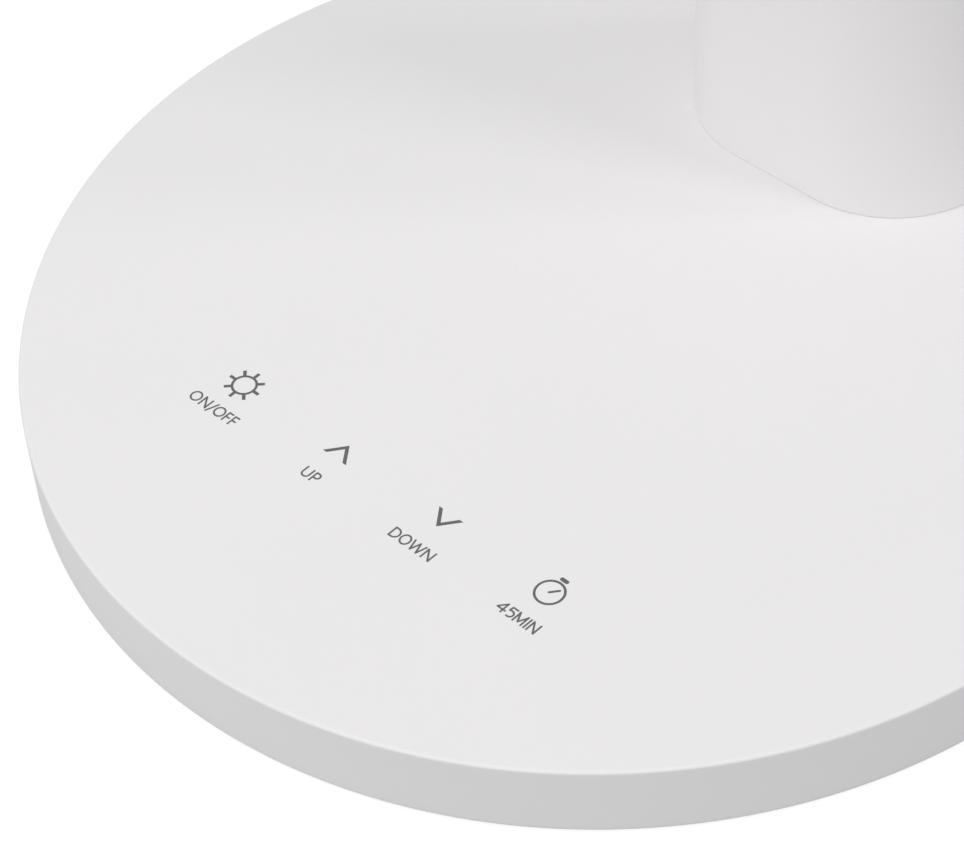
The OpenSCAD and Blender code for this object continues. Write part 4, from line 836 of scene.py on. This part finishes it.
# Light bar shell: a slim white moulding with a rounded upper edge, hollow below.
# Bosses inside take the tongue's screws and those of the lower frame. Its rear wall is open for the tongue.
HEAD_REAR, HEAD_L, HEAD_W, HEAD_R, HEAD_WALL = 32.68, 300.0, 44.0, 12.0, 1.8
SHELL_LOW, SHELL_TOP, SHELL_ROUND, SHELL_INNER_R, HEAD_EDGE = 373.7, 382.7, 2.6, 0.9, 0.25
HEAD_MID_Y = HEAD_REAR - HEAD_L / 2
HEAD_SCREW_D, HEAD_SHANK_D, HEAD_SCREW_L, HEAD_BOSS_R = 4.4, 2.2, 10.2, 3.0
HEAD_SCREWS_ACROSS, HEAD_SCREWS_ALONG = 33.0, 287.0
HEAD_SCREWS = [(x * HEAD_SCREWS_ACROSS / 2, HEAD_MID_Y + y * HEAD_SCREWS_ALONG / 2)
               for x in (-1, 1) for y in (1, -1)]
TONGUE_TOP, TONGUE_BOSS_R, NOTCH_HALF, NOTCH_TOP = 377.7, 3.25, 7.0, 378.0
TONGUE_SCREWS = [(x, y) for x in (-7.0, 7.0) for y in (21.88, 5.88)]


def bar_outline(inset, z, half=(HEAD_W / 2, HEAD_L / 2), corner=HEAD_R, middle=HEAD_MID_Y, steps=16):
    """The light bar's outline, drawn in by inset, or that of another rounded oblong in it."""
    a, b = half[0] - inset, half[1] - inset
    r = max(corner - inset, 0.3)
    points = []
    for sx, sy, start in ((1, 1, 0), (-1, 1, 90), (-1, -1, 180), (1, -1, 270)):
        points += arc((sx * (a - r), sy * (b - r)), (r, r), start, start + 90, steps)
    return [(x, middle + y, z) for x, y in points]


ceiling = SHELL_TOP - HEAD_WALL
shell_rings = [bar_outline(HEAD_WALL + SHELL_INNER_R + 0.5, ceiling)]
shell_rings += [bar_outline(HEAD_WALL + SHELL_INNER_R - x, ceiling - SHELL_INNER_R + z)
                for x, z in round_over((0, 0), SHELL_INNER_R, 90, 0, 5)]
shell_rings += [bar_outline(HEAD_WALL, SHELL_LOW), bar_outline(HEAD_EDGE, SHELL_LOW),
                bar_outline(0, SHELL_LOW + HEAD_EDGE), bar_outline(0, SHELL_TOP - SHELL_ROUND - 0.5)]
shell_rings += [bar_outline(SHELL_ROUND - x, SHELL_TOP - SHELL_ROUND + z)
                for x, z in round_over((0, 0), SHELL_ROUND, 0, 90, 12)]
shell_rings.append(bar_outline(SHELL_ROUND + 0.5, SHELL_TOP))
shell_bosses = [upright(HEAD_BOSS_R, SHELL_LOW, ceiling + OVERLAP, 40, c) for c in HEAD_SCREWS]
shell_bosses += [upright(TONGUE_BOSS_R, TONGUE_TOP, ceiling + OVERLAP, 40, c) for c in TONGUE_SCREWS]
shell_cuts = [upright(HEAD_SHANK_D / 2 + FIT, SHELL_LOW - PAST, ceiling, 24, c) for c in HEAD_SCREWS]
shell_cuts += [upright(SHANK_D / 2 + FIT, TONGUE_TOP - PAST, ceiling, 24, c) for c in TONGUE_SCREWS]
shell_cuts.append(block((-NOTCH_HALF, HEAD_REAR - HEAD_WALL - PAST, SHELL_LOW - PAST),
                        (NOTCH_HALF, HEAD_REAR + PAST, NOTCH_TOP)))
head_shell = shaped(skinned(shell_rings), add=shell_bosses, cut=shell_cuts)
made_piece("head_shell_moulding", head_shell, white_plastic, "head", "head_shell", slot="white_plastic")

# Diffuser: a flat plate of opal plastic with broken edges.
# It lies on a ledge of the lower frame, and the reflector frame keeps it down.
OPTIC_MID_Y, OPTIC_W, OPTIC_L = STEM_Y - 189.82, 39.0, 248.2
OPAL_EDGE, OPAL_CORNER, OPAL_RING = 0.3, 0.8, 0.8
BEZEL_LOW, LEDGE_Z = 370.7, 371.7


def optic_outline(half_w, half_l, corner, z, inset=0.0):
    return bar_outline(inset, z, (half_w, half_l), corner, OPTIC_MID_Y)


opal_plastic = finish("opal_plastic", moulded, ((0.88, 0.88, 0.87), (0.86, 0.86, 0.85)), (0.28, 0.4), 0.006,
                      {"Grain": 3500.0, "Patches": 20.0}, Subsurface_Weight=0.3, Subsurface_Scale=0.002)
opal_rings = [optic_outline(OPTIC_W / 2, OPTIC_L / 2, OPAL_CORNER, z, inset)
              for z, inset in ((LEDGE_Z, OPAL_RING), (LEDGE_Z, OPAL_EDGE), (LEDGE_Z + OPAL_EDGE, 0),
                               (SHELL_LOW - OPAL_EDGE, 0), (SHELL_LOW, OPAL_EDGE), (SHELL_LOW, OPAL_RING))]
made_piece("diffuser_plate", skinned(opal_rings), opal_plastic, "head", "diffuser", slot="opal")

# Lower frame: a white moulding that closes the light bar and holds the diffuser on a ledge.
# Four countersunk screws at its corners hold it to the shell.
LEDGE_W, BEZEL_ROUND, WINDOW_CORNER, WINDOW_EDGE, OPTIC_GAP = 1.5, 1.0, 1.0, 0.35, 0.3
WINDOW_W, WINDOW_L = OPTIC_W - 2 * LEDGE_W, OPTIC_L - 2 * LEDGE_W
bezel_rings = [bar_outline(HEAD_EDGE, SHELL_LOW), bar_outline(0, SHELL_LOW - HEAD_EDGE),
               bar_outline(0, BEZEL_LOW + BEZEL_ROUND + 0.3)]
bezel_rings += [bar_outline(BEZEL_ROUND - x, BEZEL_LOW + BEZEL_ROUND + z)
                for x, z in round_over((0, 0), BEZEL_ROUND, 0, -90, 8)]
bezel_rings.append(bar_outline(BEZEL_ROUND + 0.25, BEZEL_LOW))
bezel_rings += [optic_outline(WINDOW_W / 2, WINDOW_L / 2, WINDOW_CORNER, z, -grow)
                for z, grow in ((BEZEL_LOW, WINDOW_EDGE + 0.2), (BEZEL_LOW, WINDOW_EDGE),
                                (BEZEL_LOW + 0.1, 0.1), (BEZEL_LOW + WINDOW_EDGE, 0), (LEDGE_Z, 0))]
bezel_rings += [optic_outline(OPTIC_W / 2 + OPTIC_GAP, OPTIC_L / 2 + OPTIC_GAP, WINDOW_CORNER, z)
                for z in (LEDGE_Z, SHELL_LOW)]
bar_holes = [sunk_hole(HEAD_SCREW_D, HEAD_SHANK_D, BEZEL_LOW, SHELL_LOW + PAST, (0.18, 0.15), c, 40)
             for c in HEAD_SCREWS]
head_bezel = shaped(skinned(bezel_rings, closed=True), cut=bar_holes)
made_piece("head_bezel_moulding", head_bezel, white_plastic, "head", "head_bezel", slot="white_plastic")

# Light bar screws: four small plated countersunk screws with a cross recess.
# They go up through the corners of the lower frame into the shell's bosses, with their heads flush.
bar_screw = cross_screw(HEAD_SCREW_D, HEAD_SHANK_D, HEAD_SCREW_L, sunk_section(HEAD_SCREW_D, HEAD_SHANK_D))
set_in_rows("head_screw_set", bar_screw, plated_steel, "head", "head_screws", "steel",
            **{"Columns": 2, "Rows": 2, "Column Spacing": HEAD_SCREWS_ACROSS,
               "Row Spacing": HEAD_SCREWS_ALONG, "Centre": (0, HEAD_MID_Y, BEZEL_LOW), "Seed": 15})
